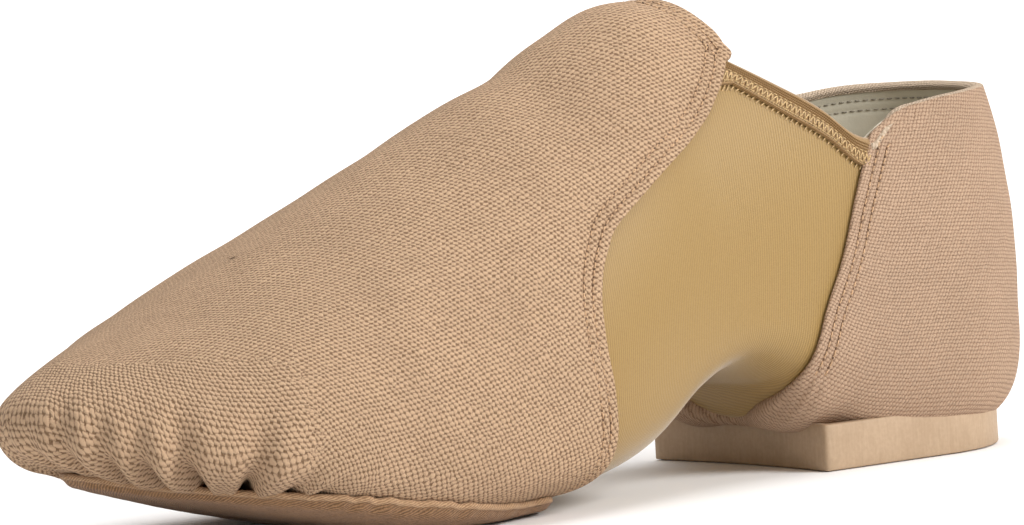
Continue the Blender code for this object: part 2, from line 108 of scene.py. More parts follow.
HEEL_ROUND = 2.1
TOE_ROUND = 2.0
BODY_RUN = (TOE_PIVOT - HEEL_PIVOT) * LENGTH
TOPLINE = (
    (0.000, 0.985), (0.080, 0.982), (0.140, 0.968), (0.165, 0.952), (0.182, 0.914),
    (0.198, 0.874), (0.212, 0.885), (0.244, 0.965), (0.287, 1.048), (0.325, 1.120),
)
FEATHER = (
    (0.00, 0.185), (0.10, 0.178), (0.20, 0.150), (0.28, 0.130), (0.38, 0.140), (0.50, 0.185),
    (0.59, 0.230), (0.68, 0.300), (0.81, 0.335), (0.92, 0.318), (0.98, 0.335), (1.00, 0.378),
)
MARGIN_ROW = 0.12
INSOLE_ROW = 0.18
FEATHER_ROW = 0.24
ROWS = (
    0.00, 0.06, 0.12, 0.18, 0.24, 0.34, 0.44, 0.54, 0.63, 0.70, 0.76, 0.80, 0.825,
    0.85, 0.88, 0.92, 0.96, 1.00, 1.15, 1.35, 1.55, 1.78, 2.00,
)
QUARTER_EDGE = (
    (0.00, 0.254), (0.10, 0.258), (0.24, 0.271), (0.38, 0.281), (0.52, 0.270), (0.67, 0.245),
    (0.82, 0.222), (0.92, 0.203), (0.96, 0.194), (1.00, 0.165),
)
VAMP_EDGE = (
    (0.00, 0.575), (0.18, 0.560), (0.28, 0.537), (0.39, 0.530), (0.50, 0.535), (0.60, 0.539),
    (0.70, 0.530), (0.76, 0.513), (0.80, 0.490), (0.825, 0.450), (0.85, 0.404), (0.88, 0.374),
    (0.93, 0.348), (1.00, 0.325), (1.20, 0.320), (1.50, 0.328), (2.00, 0.340),
)

# The right collar lies a little lower than the left, around DROP_AT
RIGHT_DROP = 0.0011
DROP_AT = 0.11
DROP_REACH = 0.045
PATCH_REAR = 0.540
PATCH_END = 0.035
PATCH_DRAW = 1.5

# Resolution of the surface's samples
W_SAMPLES = 901
TURN_SAMPLES = 241
SHARE_SAMPLES = 321


def smooth(x, xs, ys):
    """Value at x of a smooth curve through the table's points."""
    xs = np.asarray(xs, float)
    ys = np.asarray(ys, float)
    step = np.diff(xs)
    rise = np.diff(ys) / step
    slope = np.empty_like(ys)
    slope[1:-1] = (rise[:-1] * step[1:] + rise[1:] * step[:-1]) / (xs[2:] - xs[:-2])
    slope[0], slope[-1] = rise[0], rise[-1]
    x = np.clip(x, xs[0], xs[-1])
    i = np.clip(np.searchsorted(xs, x) - 1, 0, len(xs) - 2)
    t = (x - xs[i]) / step[i]
    ends = (2 * t**3 - 3 * t**2 + 1) * ys[i] + (3 * t**2 - 2 * t**3) * ys[i + 1]
    bends = (t**3 - 2 * t**2 + t) * slope[i] + (t**3 - t**2) * slope[i + 1]
    return ends + bends * step[i]


def bell(x, width):
    """1 at zero, falling off smoothly on both sides."""
    return np.exp(-(x / width) ** 2)


def table(rows, x):
    return smooth(x, [row[0] for row in rows], [row[1] for row in rows])


def section(name, x):
    column = LAST_COLUMNS.index(name)
    return smooth(x / LENGTH, [row[0] for row in LAST], [row[column] for row in LAST])


def bed(x):
    return table(BED, x / LENGTH)


def crest(x):
    return INSTEP_HEIGHT * section("top", x)


def outline(w, side):
    """Plan outline: w runs 0 to 1 around the heel, to 2 along the body, to 3 at the toe."""
    heel, toe = HEEL_PIVOT * LENGTH, TOE_PIVOT * LENGTH
    back = np.clip(w, 0, 1) * np.pi / 2
    front = np.clip(w - 2, 0, 1) * np.pi / 2
    x_heel = heel * (1 - np.cos(back) ** (2 / HEEL_ROUND))
    x_toe = toe + (LENGTH - toe) * np.sin(front) ** (2 / TOE_ROUND)
    x = np.where(w < 1, x_heel, np.where(w > 2, x_toe, heel + (w - 1) * (toe - heel)))
    taper_heel = np.sin(back) ** (2 / HEEL_ROUND)
    taper_toe = np.maximum(np.cos(front), 0) ** (2 / TOE_ROUND)
    taper = np.where(w < 1, taper_heel, np.where(w > 2, taper_toe, 1.0))
    half = section("left" if side > 0 else "right", x)
    return x, side * taper * BALL_WIDTH * half


def place(share):
    """The w of the outline at a share of LENGTH."""
    heel, toe = HEEL_PIVOT, TOE_PIVOT
    body = 1 + (share - heel) / (toe - heel)
    cosine = np.clip(1 - share / heel, 0, 1) ** (HEEL_ROUND / 2)
    back = np.arccos(cosine) / (np.pi / 2)
    sine = np.clip((share - toe) / (1 - toe), 0, 1) ** (TOE_ROUND / 2)
    front = 2 + np.arcsin(sine) / (np.pi / 2)
    return np.where(share < heel, back, np.where(share > toe, front, body))


def last(w, side, turn):
    """The last's surface: turn runs -1 at the bottom centre, 0 at the side, 1 at the top centre."""
    edge_x, edge_y = outline(w, side)
    pivot = np.clip(edge_x, HEEL_PIVOT * LENGTH, TOE_PIVOT * LENGTH)
    angle = turn * np.pi / 2
    round_by = np.where(turn < 0, section("low", edge_x), section("high", edge_x))
    reach = np.maximum(np.cos(angle), 0) ** (2 / round_by)
    lift = np.abs(np.sin(angle)) ** (2 / round_by)
    x = pivot + reach * (edge_x - pivot)
    y = BALL_WIDTH * section("spine", x) + reach * edge_y
    waist = INSTEP_HEIGHT * section("side", edge_x)
    z = np.where(turn < 0, waist - (waist - bed(x)) * lift, waist + (crest(x) - waist) * lift)
    return np.stack([x, y, z], -1)


class Side:
    """One side of the last, sampled over w and the share of the half girth."""

    def __init__(self, side):
        self.side = side
        self.w = np.linspace(0, 3, W_SAMPLES)
        turns = np.linspace(-1, 1, TURN_SAMPLES)
        points = last(self.w[:, None], side, turns[None, :])
        up = np.gradient(points, axis=1)
        forward = np.gradient(points, axis=0)
        forward[0] = (0.0, side, 0.0)
        forward[-1] = (0.0, -side, 0.0)
        normals = np.cross(up, forward) * side
        reach = 0.0005
        for end, height, sign in ((0, bed, -1), (-1, crest, 1)):
            x = points[:, end, 0]
            slope = (height(x + reach) - height(x - reach)) / (2 * reach)
            normals[:, end] = np.stack([-slope, 0 * x, 1 + 0 * x], -1) * sign
        normals[[0, -1], :, 1] = 0.0
        normals /= np.linalg.norm(normals, axis=2, keepdims=True)
        run = np.linalg.norm(np.diff(points, axis=1), axis=2)
        along = np.concatenate([np.zeros((W_SAMPLES, 1)), np.cumsum(run, axis=1)], axis=1)
        self.girth = along[:, -1]
        shares = np.linspace(0, 1, SHARE_SAMPLES)
        both = np.concatenate([points, normals], axis=2)
        self.grid = np.empty((W_SAMPLES, SHARE_SAMPLES, 6))
        self.top_at = []
        upper_half = turns >= 0
        for i in range(W_SAMPLES):
            part = along[i] / along[i, -1]
            for axis in range(6):
                self.grid[i, :, axis] = np.interp(shares, part, both[i, :, axis])
            at = self.station(self.w[i])
            height = COLLAR_HEIGHT * table(TOPLINE, at)
            if side < 0:
                height = height - RIGHT_DROP * bell(at - DROP_AT, DROP_REACH)
            self.top_at.append(np.interp(height, points[i, upper_half, 2], part[upper_half]))
        self.top_at = np.array(self.top_at)
        self.tongue = float(self.top(self.vamp_edge(1.0)))

    def station(self, w):
        return outline(np.asarray(w, float), 1)[0] / LENGTH

    def top(self, w):
        """Share of the half girth at the topline."""
        return np.interp(w, self.w, self.top_at)

    def girth_at(self, w):
        return np.interp(w, self.w, self.girth)

    def feather(self, w):
        return table(FEATHER, self.station(w))

    def vamp_edge(self, row):
        return place(table(VAMP_EDGE, np.asarray(row, float)))

    def quarter_edge(self, row):
        return place(table(QUARTER_EDGE, np.asarray(row, float)))

    def share(self, w, row, top):
        """Share of the half girth at a row, given the share at the topline."""
        feather = self.feather(w)
        margin = feather - LASTING_MARGIN / self.girth_at(w)
        low = np.interp(row, (0.0, MARGIN_ROW), (0.0, 1.0)) * margin
        mid = margin + (row - MARGIN_ROW) / (FEATHER_ROW - MARGIN_ROW) * (feather - margin)
        high = feather + (row - FEATHER_ROW) / (1 - FEATHER_ROW) * (top - feather)
        tongue = top + (row - 1) * (1 - top)
        return np.select([row < MARGIN_ROW, row < FEATHER_ROW, row < 1], [low, mid, high], tongue)

    def at(self, w, share, offset=0.0):
        """Points on the side in the shoe's frame, moved out along the normal."""
        w, share, offset = np.broadcast_arrays(w, share, offset)
        i = np.clip(w / 3 * (W_SAMPLES - 1), 0, W_SAMPLES - 1.000001)
        j = np.clip(share * (SHARE_SAMPLES - 1), 0, SHARE_SAMPLES - 1.000001)
        i0, j0 = i.astype(int), j.astype(int)
        a, b = (i - i0)[..., None], (j - j0)[..., None]
        grid = self.grid
        found = (grid[i0, j0] * (1 - a) + grid[i0 + 1, j0] * a) * (1 - b)
        found += (grid[i0, j0 + 1] * (1 - a) + grid[i0 + 1, j0 + 1] * a) * b
        normal = found[..., 3:] / np.linalg.norm(found[..., 3:], axis=-1, keepdims=True)
        return found[..., :3] + normal * offset[..., None] + ORIGIN


LEFT, RIGHT = Side(1), Side(-1)
SIDES = (LEFT, RIGHT)
ROW_INDEX = np.arange(len(ROWS))


def index_from(row, steps_per_row):
    """Even steps over the indices of ROWS, from a row to the last."""
    first = ROWS.index(row)
    return np.linspace(first, len(ROWS) - 1, (len(ROWS) - 1 - first) * steps_per_row + 1)


def fine_rows(low_steps):
    """Rows from the bottom centre to the topline, close above the feather line."""
    return np.concatenate([np.linspace(0, FEATHER_ROW, low_steps), np.linspace(FEATHER_ROW, 1, 110)[1:]])


def row_at(index):
    return np.interp(index, ROW_INDEX, ROWS)


def run_along(points):
    """Distance along a line of points from its first."""
    return np.concatenate([[0], np.cumsum(np.linalg.norm(np.diff(points, axis=0), axis=1))])


def plan_run(side, w):
    """Distance along the plan outline from its first point."""
    return run_along(np.stack(outline(w, side.side), -1))


CLOTH_GIRTH = 0.120


def cloth_map(side, w, share):
    """Flat place of a point on the vamp's cloth, in metres: along the shoe, and across from the crest."""
    along = np.interp(w, LEFT.w, run_along(LEFT.grid[:, -1, :3]))
    reach = (1 - share) * (0.5 * CLOTH_GIRTH + 0.5 * side.girth_at(w))
    edge_x, edge_y = outline(w, side.side)
    ahead = np.maximum(edge_x - TOE_PIVOT * LENGTH, 0)
    heading = np.where(w > 2, np.arctan2(np.abs(edge_y), ahead), np.pi / 2)
    u = along + reach * np.cos(heading)
    v = side.side * reach * np.sin(heading)
    return u, v


UV_LAYERS = ("UVMap", "RimMap", "RimShare")


def link(name, points, faces, material, uv=None):
    """An object from points and faces, welded where points coincide."""
    mesh = bpy.data.meshes.new(name)
    mesh.from_pydata([tuple(p) for p in points], [], [tuple(f) for f in faces])
    if uv is not None:
        loops = np.empty(len(mesh.loops), dtype=np.int32)
        mesh.loops.foreach_get("vertex_index", loops)
        for k in range(uv.shape[1] // 2):
            layer = mesh.uv_layers.new(name=UV_LAYERS[k])
            layer.data.foreach_set("uv", uv[:, 2 * k:2 * k + 2].astype(np.float32)[loops].ravel())
    mesh.materials.append(material)
    work = bmesh.new()
    work.from_mesh(mesh)
    bmesh.ops.remove_doubles(work, verts=work.verts, dist=2e-6)
    bmesh.ops.dissolve_degenerate(work, dist=1e-7, edges=work.edges)
    work.to_mesh(mesh)
    work.free()
    mesh.polygons.foreach_set("use_smooth", np.full(len(mesh.polygons), True))
    mesh.update()
    thing = bpy.data.objects.new(name, mesh)
    bpy.context.scene.collection.objects.link(thing)
    return thing


def grid_faces(columns, rows, start=0, flip=False):
    """Quads of a grid stored column by column."""
    i, j = np.meshgrid(np.arange(columns - 1), np.arange(rows - 1), indexing="ij")
    a = start + i * rows + j
    quads = np.stack([a, a + 1, a + rows + 1, a + rows], -1).reshape(-1, 4)
    return quads[:, ::-1] if flip else quads


def join_grids(name, grids, material):
    """One object from grids of (points, uv, flip)."""
    points, uvs, faces, start = [], [], [], 0
    for grid, uv, flip in grids:
        columns, rows = grid.shape[:2]
        points.append(grid.reshape(-1, 3))
        uvs.append(np.stack(uv, -1).reshape(-1, len(uv)))
        faces.append(grid_faces(columns, rows, start, flip))
        start += columns * rows
    return link(name, np.vstack(points), np.vstack(faces), material, np.vstack(uvs))


# Node graphs of the materials
class Output:
    """A node's output, which adds, subtracts and multiplies like a number."""

    def __init__(self, look, socket):
        self.look = look
        self.socket = socket

    def __add__(self, other):
        return self.look.math("ADD", self, other)

    def __sub__(self, other):
        return self.look.math("SUBTRACT", self, other)

    def __mul__(self, other):
        return self.look.math("MULTIPLY", self, other)


class Look:
    """A Principled material with short ways to add nodes."""

    def __init__(self, name, roughness):
        self.material = bpy.data.materials.new(name)
        self.material.use_nodes = True
        self.nodes = self.material.node_tree.nodes
        self.shader = self.nodes["Principled BSDF"]
        self.shader.inputs["Roughness"].default_value = roughness
        self.here = self.add("ShaderNodeTexCoord", output="Object")

    def put(self, socket, value):
        if isinstance(value, Output):
            self.material.node_tree.links.new(value.socket, socket)
        else:
            socket.default_value = value

    def add(self, kind, inputs=None, output=0, **settings):
        """One output of a new node, with its inputs by name or number and its settings."""
        node = self.nodes.new(kind)
        for key, value in settings.items():
            setattr(node, key, value)
        for key, value in (inputs or {}).items():
            self.put(node.inputs[key], value)
        return Output(self, node.outputs[output])

    def math(self, operation, a, b=0.0):
        return self.add("ShaderNodeMath", {0: a, 1: b}, operation=operation)

    def mix(self, factor, a, b):
        return self.add("ShaderNodeMix", {0: factor, 6: a, 7: b}, 2, data_type="RGBA")

    def noise(self, scale, detail=2.0, rough=0.5, vector=None):
        inputs = {"Vector": vector or self.here, "Scale": scale, "Detail": detail, "Roughness": rough}
        return self.add("ShaderNodeTexNoise", inputs)

    def ramp(self, value, low, high):
        return self.add("ShaderNodeMapRange", {0: value, 1: low, 2: high}, interpolation_type="SMOOTHSTEP")

    def wave(self, at, pitch):
        return self.math("SINE", at * (2 * np.pi / pitch))

    def map(self, layer=0):
        """The two axes of a flat map, in metres."""
        uv = self.add("ShaderNodeUVMap", uv_map=UV_LAYERS[layer])
        return [self.add("ShaderNodeSeparateXYZ", {0: uv}, axis) for axis in (0, 1)]

    def finish(self, tone, height, relief, **levels):
        """Connect the colour and the bump, and set the shader's own sockets."""
        self.put(self.shader.inputs["Base Color"], tone)
        bump = self.add("ShaderNodeBump", {"Height": height, "Distance": relief, "Strength": 1.0})
        self.put(self.shader.inputs["Normal"], bump)
        for key, value in levels.items():
            self.shader.inputs[key.replace("_", " ")].default_value = value
        return self.material


def rgb(red, green, blue):
    """A linear colour from one seen on a screen, 0 to 255."""
    values = []
    for value in (red, green, blue):
        share = value / 255
        values.append(share / 12.92 if share <= 0.04045 else ((share + 0.055) / 1.055) ** 2.4)
    return (*values, 1.0)


def shaded(colour, share):
    """A darker version of a colour."""
    return (*(value * share for value in colour[:3]), 1.0)


def knots(look, u, v, pitch, long_by, lean, wander):
    """Height of a weave's staggered leaning knots, low only where four of them meet; the canvas turns it into
    painted shade there.
    """
    for scale, amount in ((210.0, 1.3 * wander), (950.0, 0.9 * wander)):
        u = u + (look.noise(scale) - 0.5) * (pitch * amount)
        v = v + (look.noise(scale * 0.8) - 0.5) * (pitch * amount)
    down = v * (1 / pitch)
    row = look.math("FLOOR", down)
    along = u * (1 / (pitch * long_by)) + look.math("MODULO", row, 2.0) * 0.5
    part_v = look.math("FRACT", down) - 0.5
    part_u = look.math("FRACT", along) - 0.5 + part_v * lean
    far = look.math("SQRT", part_u * part_u + part_v * part_v)
    knot = look.math("SUBTRACT", 1.0, look.ramp(far, 0.10, 0.80))
    cell = look.add("ShaderNodeCombineXYZ", {0: look.math("FLOOR", along), 1: row})
    chance = look.add("ShaderNodeTexWhiteNoise", {"Vector": cell})
    return knot * (chance * 0.45 + 0.64)


def canvas_look(name, light, dark, pitch, long_by, lean, wander=1.0, rim_map=False):
    """Plain weave of thick soft threads, with painted shade toward each knot's edge and in the gaps; the toe's
    flank has its own map along the rim.
    """
    look = Look(name, 0.92)
    weave = (pitch, long_by, lean, wander)
    height = knots(look, *look.map(), *weave)
    if rim_map:
        ragged = (look.noise(800.0, 1.0) - 0.5) * 1.6
        share = look.ramp(look.map(2)[0] + ragged, 0.40, 0.60)
        rim = knots(look, *look.map(1), *weave)
        height = height * look.math("SUBTRACT", 1.0, share) + rim * share
    height = height + (look.noise(2600.0, 2.0, 0.7) + look.noise(5200.0, 1.0)) * 0.42
    # Colour follows the knots' height: painted shade, darker toward each knot's edge and darkest where four
    # knots meet; the knots' random tone and the patchy mix are the cloth's own.
    shade = look.ramp(height, 0.26, 1.12)
    patchy = look.ramp(look.noise(45.0, 3.0), 0.4, 0.7) * 0.5
    deep = look.mix(shade, dark, shaded(light, 0.86))
    tone = look.mix(patchy, look.mix(shade, dark, light), deep)
    return look.finish(tone, height, 0.00036, Sheen_Weight=0.04, Sheen_Roughness=0.6, Specular_IOR_Level=0.12)


def stretch_look(name, light, dark):
    """Fine ribbed stretch cloth with a satin face."""
    look = Look(name, 0.45)
    u, v = look.map()
    rib = look.wave(u + v * 0.12, 0.00062)
    height = rib * 0.22 + look.wave(v, 0.00034) * 0.05 + look.noise(3200.0, 1.0) * 0.5
    tone = look.mix(look.ramp(height, -0.6, 0.75), dark, light)
    patchy = look.ramp(look.noise(30.0), 0.45, 0.75) * 0.4
    tone = look.mix(patchy, tone, shaded(light, 0.86))
    return look.finish(tone, height, 0.00006, Sheen_Weight=0.35, Sheen_Roughness=0.35, Specular_IOR_Level=0.4)


def lining_look(name, light, dark):
    """Smooth pale lining cloth."""
    look = Look(name, 0.75)
    broad = look.noise(55.0, 3.0)
    tone = look.mix(look.ramp(broad, 0.35, 0.7), dark, light)
    return look.finish(tone, look.noise(2400.0) * 0.3 + broad, 0.00012, Sheen_Weight=0.2)


def suede_look(name, light, dark):
    """Napped suede with a fine slanting grain."""
    look = Look(name, 0.95)
    u, v = look.map()
    twill = look.wave(u + v * 1.4 + look.noise(420.0) * 0.0016, 0.0011)
    height = twill * 0.22 + look.noise(1800.0, 3.0, 0.7)
    tone = look.mix(look.ramp(height, 0.2, 0.85), dark, light)
    patchy = look.ramp(look.noise(60.0, 3.0), 0.45, 0.7) * 0.4
    tone = look.mix(patchy, tone, shaded(light, 0.75))
    return look.finish(tone, height, 0.00018, Sheen_Weight=0.08)


def leather_look(name, light, dark):
    """Fine-grained heel leather with faint vertical brushing."""
    look = Look(name, 0.55)
    drawn = look.add("ShaderNodeMapping", {"Vector": look.here, "Scale": (1.0, 1.0, 0.12)})
    height = look.noise(1500.0, vector=drawn) * 0.5 + look.noise(1300.0, 3.0) * 0.5
    patchy = height * 0.5 + look.noise(70.0, 3.0) * 0.5
    tone = look.mix(look.ramp(patchy, 0.35, 0.65), dark, light)
    return look.finish(tone, height, 0.00010, Specular_IOR_Level=0.35)


def thread_look(name, colour):
    """Twisted sewing thread."""
    look = Look(name, 0.6)
    twist = look.noise(3000.0, 1.0)
    tone = look.mix(look.ramp(twist, 0.35, 0.65), shaded(colour, 0.6), colour)
    return look.finish(tone, twist, 0.00008)


VAMP_CANVAS = canvas_look(
    "tan_canvas", rgb(199, 166, 134), rgb(112, 84, 60), 0.00090, 1.30, 0.85, rim_map=True
)
QUARTER_CANVAS = canvas_look("tan_canvas_fine", rgb(189, 158, 132), rgb(134, 104, 80), 0.00076, 1.15, 0.45, 0.6)
STRETCH = stretch_look("olive_stretch", rgb(163, 132, 78), rgb(116, 88, 42))
LINING = lining_look("grey_lining", rgb(224, 216, 196), rgb(198, 190, 170))
ELASTIC = stretch_look("ribbed_elastic", rgb(166, 132, 86), rgb(92, 66, 36))
SUEDE_LOOK = suede_look("tan_suede", rgb(166, 126, 88), rgb(102, 72, 44))
HEEL_LOOK = leather_look("tan_heel", rgb(184, 158, 130), rgb(170, 144, 116))
RIM_CANVAS = canvas_look("pale_rim", rgb(204, 182, 158), rgb(160, 136, 112), 0.00078, 1.15, 0.45)
SUEDE_EDGE = suede_look("suede_cut_edge", rgb(196, 160, 122), rgb(140, 106, 76))
SOCK = lining_look("sock", rgb(172, 158, 132), rgb(140, 128, 104))
THREAD = thread_look("tan_thread", rgb(212, 172, 132))
# Dark tubes set at each needle hole between stitches: painted shade where the hole is.
HOLE_SHADE_LOOK = thread_look("needle_hole_shade", rgb(118, 86, 58))
BINDING_THREAD = thread_look("binding_thread", rgb(206, 172, 122))
GREY_THREAD = thread_look("grey_thread", rgb(168, 158, 140))


# Canvas vamp
VAMP_BODY_STEPS = 100
VAMP_FAN_STEPS = 150
STEPS_PER_ROW = 8
VAMP_CROWD = 1.6
EDGE_STEPS = 7
SEAM_FIRST = 0.0020
SEAM_SECOND = 0.0042
SEAM_WIDTH = 0.0005
SEAM_DEPTH = 0.00024
FAN_RUN = 0.075
PLEAT_DEPTH = 1.5
PLEAT_REACH = 1.25

# Gathered pleats at the toe: w at the seam and at the pleat's top, height
# above the feather line, depth and half width at the seam, in metres.
LEFT_PLEATS = (
    (2.130, 2.060, 0.0100, 0.0004, 0.0016),
    (2.213, 2.125, 0.0115, 0.0008, 0.0016),
    (2.317, 2.270, 0.0175, 0.0017, 0.0017),
    (2.427, 2.490, 0.0195, 0.0020, 0.0018),
    (2.553, 2.585, 0.0200, 0.0016, 0.0017),
    (2.675, 2.672, 0.0195, 0.0014, 0.0016),
    (2.785, 2.800, 0.0170, 0.0012, 0.0015),
    (2.900, 2.930, 0.0130, 0.0008, 0.0014),
)
RIGHT_PLEATS = (
    (2.110, 2.050, 0.0110, 0.0005, 0.0016),
    (2.230, 2.180, 0.0150, 0.0011, 0.0017),
    (2.345, 2.320, 0.0180, 0.0016, 0.0018),
    (2.470, 2.480, 0.0190, 0.0018, 0.0017),
    (2.600, 2.615, 0.0190, 0.0015, 0.0017),
    (2.735, 2.730, 0.0170, 0.0013, 0.0016),
    (2.870, 2.890, 0.0140, 0.0009, 0.0015),
)


def vamp_nodes(side, index, steps_body, steps_fan):
    """w and share over the vamp, columns from its rear edge to the toe's tip."""
    row = row_at(index)
    edge = side.vamp_edge(row)
    body = np.linspace(0, 1, steps_body + 1) ** VAMP_CROWD
    w_body = edge[None, :] + body[:, None] * (2 - edge[None, :])
    fan = 2 + np.linspace(0, 1, steps_fan + 1)[1:]
    w = np.vstack([w_body, np.repeat(fan[:, None], len(row), axis=1)])
    share = side.share(w, np.broadcast_to(row, w.shape), side.tongue)
    feather = ROWS.index(FEATHER_ROW)
    part = (index - feather) / (len(ROWS) - 1 - feather)
    even = np.where(index > feather, side.feather(w) + part * (1 - side.feather(w)), share)
    to_tip = np.maximum(w - 2, 0)
    return w, share + to_tip * (even - share)


def soften(x, low, high):
    """0 below low, 1 above high, smooth between."""
    t = np.clip((x - low) / (high - low), 0, 1)
    return t * t * (3 - 2 * t)


def pleats(side, w, share):
    """Depth and ridges of the gathered pleats over the toe."""
    above = (share - side.feather(w)) * side.girth_at(w)
    rise = np.zeros_like(above)
    for foot, head, height, depth, width in (LEFT_PLEATS if side.side > 0 else RIGHT_PLEATS):
        part = np.clip(above / (height * PLEAT_REACH), -0.3, 1)
        middle = foot + (head - foot) * part
        across = np.abs(w - middle) * FAN_RUN
        wide = width * (0.70 + 0.95 * np.clip(part, 0, 1))
        deep = PLEAT_DEPTH * depth * (1 - np.clip(part, 0, 1) ** 2.4)
        notch = 1 + 0.35 * bell(above, 0.0022)
        rise -= deep * notch * bell(across, wide)
        ridge = 0.42 * deep * bell(across - 2.1 * wide, 1.05 * wide)
        rise += ridge * soften(above, -0.0005, 0.0050)
    full = soften(w, 2.10, 2.30) * soften(above, -0.001, 0.005) * (1 - soften(above, 0.010, 0.022))
    return rise + 0.0006 * full * (1 - 0.8 * soften(w, 2.6, 3.0))


def nose_form(w, share):
    """The toe's fuller upper nose."""
    return 0.0017 * bell(share - 0.66, 0.11) * soften(w, 2.05, 2.75)


def tongue_form(side, w, share):
    """The crest's stiff bulge under the tongue, and the hollow ahead of it."""
    at = side.station(w)
    high = soften(share, 0.66, 0.95)
    bulge = 0.0019 * bell(at - 0.385, 0.035) - 0.0016 * bell(at - 0.49, 0.040)
    rim = 0.0006 * bell(at - 0.33, 0.030) * soften(share, 0.62, 0.90)
    return high * bulge + rim


def far_from(points, line):
    """Distance of each point of a grid from a line of points."""
    flat = points.reshape(-1, 3)
    found = np.empty(len(flat))
    for start in range(0, len(flat), 4000):
        part = flat[start:start + 4000]
        gaps = (part**2).sum(1)[:, None] + (line**2).sum(1)[None, :] - 2 * part @ line.T
        found[start:start + 4000] = np.sqrt(np.maximum(gaps.min(1), 0))
    return found.reshape(points.shape[:-1])


def seam_channel(distance):
    """Two pressed stitch rows beside an edge, with the cloth a little puffed between."""
    dip = bell(distance - SEAM_FIRST, SEAM_WIDTH)
    dip += bell(distance - SEAM_SECOND, SEAM_WIDTH)
    middle = (SEAM_FIRST + SEAM_SECOND) / 2
    puff = bell(distance - middle, SEAM_WIDTH) + bell(distance, 0.0009)
    return SEAM_DEPTH * (0.35 * puff - dip)


def sway(u, v):
    """Soft unevenness of the cloth."""
    wave = np.sin(u * 118 + 3 * np.sin(v * 41)) * np.sin(v * 137 + 2.0 * np.sin(u * 53))
    return 0.00016 * wave + 0.00010 * np.sin(u * 287 + v * 211) * np.sin(v * 247 - u * 90)


def toe_map(side, w, share):
    """Flat place along the toe's rim and up, and how much the weave follows it there."""
    part = 2 * soften(w, 2.02, 2.30) * (1 - soften(share, 0.56, 0.68)) - 0.5
    run = np.interp(w, side.w, plan_run(side, side.w))
    return run, side.side * (1 - share) * side.girth_at(w), part, 0 * part


def edge_line(points, count):
    """Even run of points along the edge of a grid."""
    at = np.linspace(0, len(points) - 1, count)
    return np.stack([np.interp(at, np.arange(len(points)), points[:, axis]) for axis in range(3)], -1)


def half_round(low, high):
    """Offsets of a half-round edge from high down to low, and how far each stands out."""
    turn = np.linspace(0, np.pi, EDGE_STEPS + 1)[:, None]
    radius = (high - low) / 2
    return (high + low) / 2 + radius * np.cos(turn), radius * np.sin(turn)


def vamp_piece():
    index = index_from(MARGIN_ROW, STEPS_PER_ROW)
    grids = []
    for side in SIDES:
        flip = side.side < 0
        w, share = vamp_nodes(side, index, VAMP_BODY_STEPS, VAMP_FAN_STEPS)
        u, v = cloth_map(side, w, share)
        smooth_face = side.at(w, share, CANVAS_OUT)
        rise = pleats(side, w, share) + sway(u, v) + tongue_form(side, w, share) + nose_form(w, share)
        seam = seam_channel(far_from(smooth_face, edge_line(smooth_face[0], 900)))
        rise += seam * soften(share, 0.20, 0.26)
        rise = np.maximum(rise, 0.0002 - CANVAS_OUT)
        outer = side.at(w, share, CANVAS_OUT + rise)
        outer[VAMP_BODY_STEPS:, -1] = outer[VAMP_BODY_STEPS, -1]
        grids.append((outer, (u, v, *toe_map(side, w, share)), flip))
        top_share = np.clip((row_at(index) - 0.97) / 0.06, 0, 1)
        low = CANVAS_IN + (-CLEARANCE - CANVAS_IN) * top_share
        offset, past = half_round(low, CANVAS_OUT + rise[0])
        rim = side.at(w[0] - 0.8 * past / BODY_RUN, share[0], offset)
        under = side.at(w[0] + np.array([[0.0015], [0.0030]]) / BODY_RUN, share[0], low)
        rim = np.concatenate([rim, under])
        rim_u = u[:1] - np.linspace(0, 0.004, len(rim))[:, None]
        rim_v = np.repeat(v[:1], len(rim), 0)
        grids.append((rim, (rim_u, rim_v, rim_u, rim_v, 0 * rim_u, 0 * rim_u), not flip))
    return join_grids("vamp_canvas", grids, VAMP_CANVAS)


def quarter_nodes(side, rows, steps):
    """w and share over the quarter, columns from the back centre to its front edge."""
    edge = side.quarter_edge(rows)
    back = np.linspace(0, 1, steps + 1)
    front = 1 - (1 - np.linspace(0, 1, steps + 1)[1:]) ** 1.35
    w_front = 1 + front[:, None] * (edge[None, :] - 1)
    w = np.vstack([np.repeat(back[:, None], len(rows), axis=1), w_front])
    top_w = np.concatenate([back, 1 + front * (float(side.quarter_edge(1.0)) - 1)])
    top = np.repeat(side.top(top_w)[:, None], len(rows), axis=1)
    return w, side.share(w, np.broadcast_to(rows, w.shape), top)


def side_map(side, w, share):
    """Flat place of a point on the quarter or insert: around from the back centre, and up."""
    run = np.interp(w, side.w, plan_run(side, side.w))
    return side.side * run, share * side.girth_at(w)


def heel_fill(side, w, share):
    """Canvas stretched out over the heel block's top edge."""
    above = (share - side.feather(w)) * side.girth_at(w)
    near = bell(above + 0.001, 0.0075)
    return 0.0019 * near * (1 - soften(side.station(w), 0.235, 0.290))


def breast_fill(side, w, share):
    """Cloth drawn down onto the front edge of the heel block."""
    at = side.station(w)
    near = soften(at, 0.232, 0.262) * (1 - soften(at, 0.264, 0.292))
    return 0.0034 * near * (1 - soften(share, 0.15, 0.26))


CORNER_END = 0.201
CORNER_STEPS = 12
CORNER_OVERLAP = 0.0012


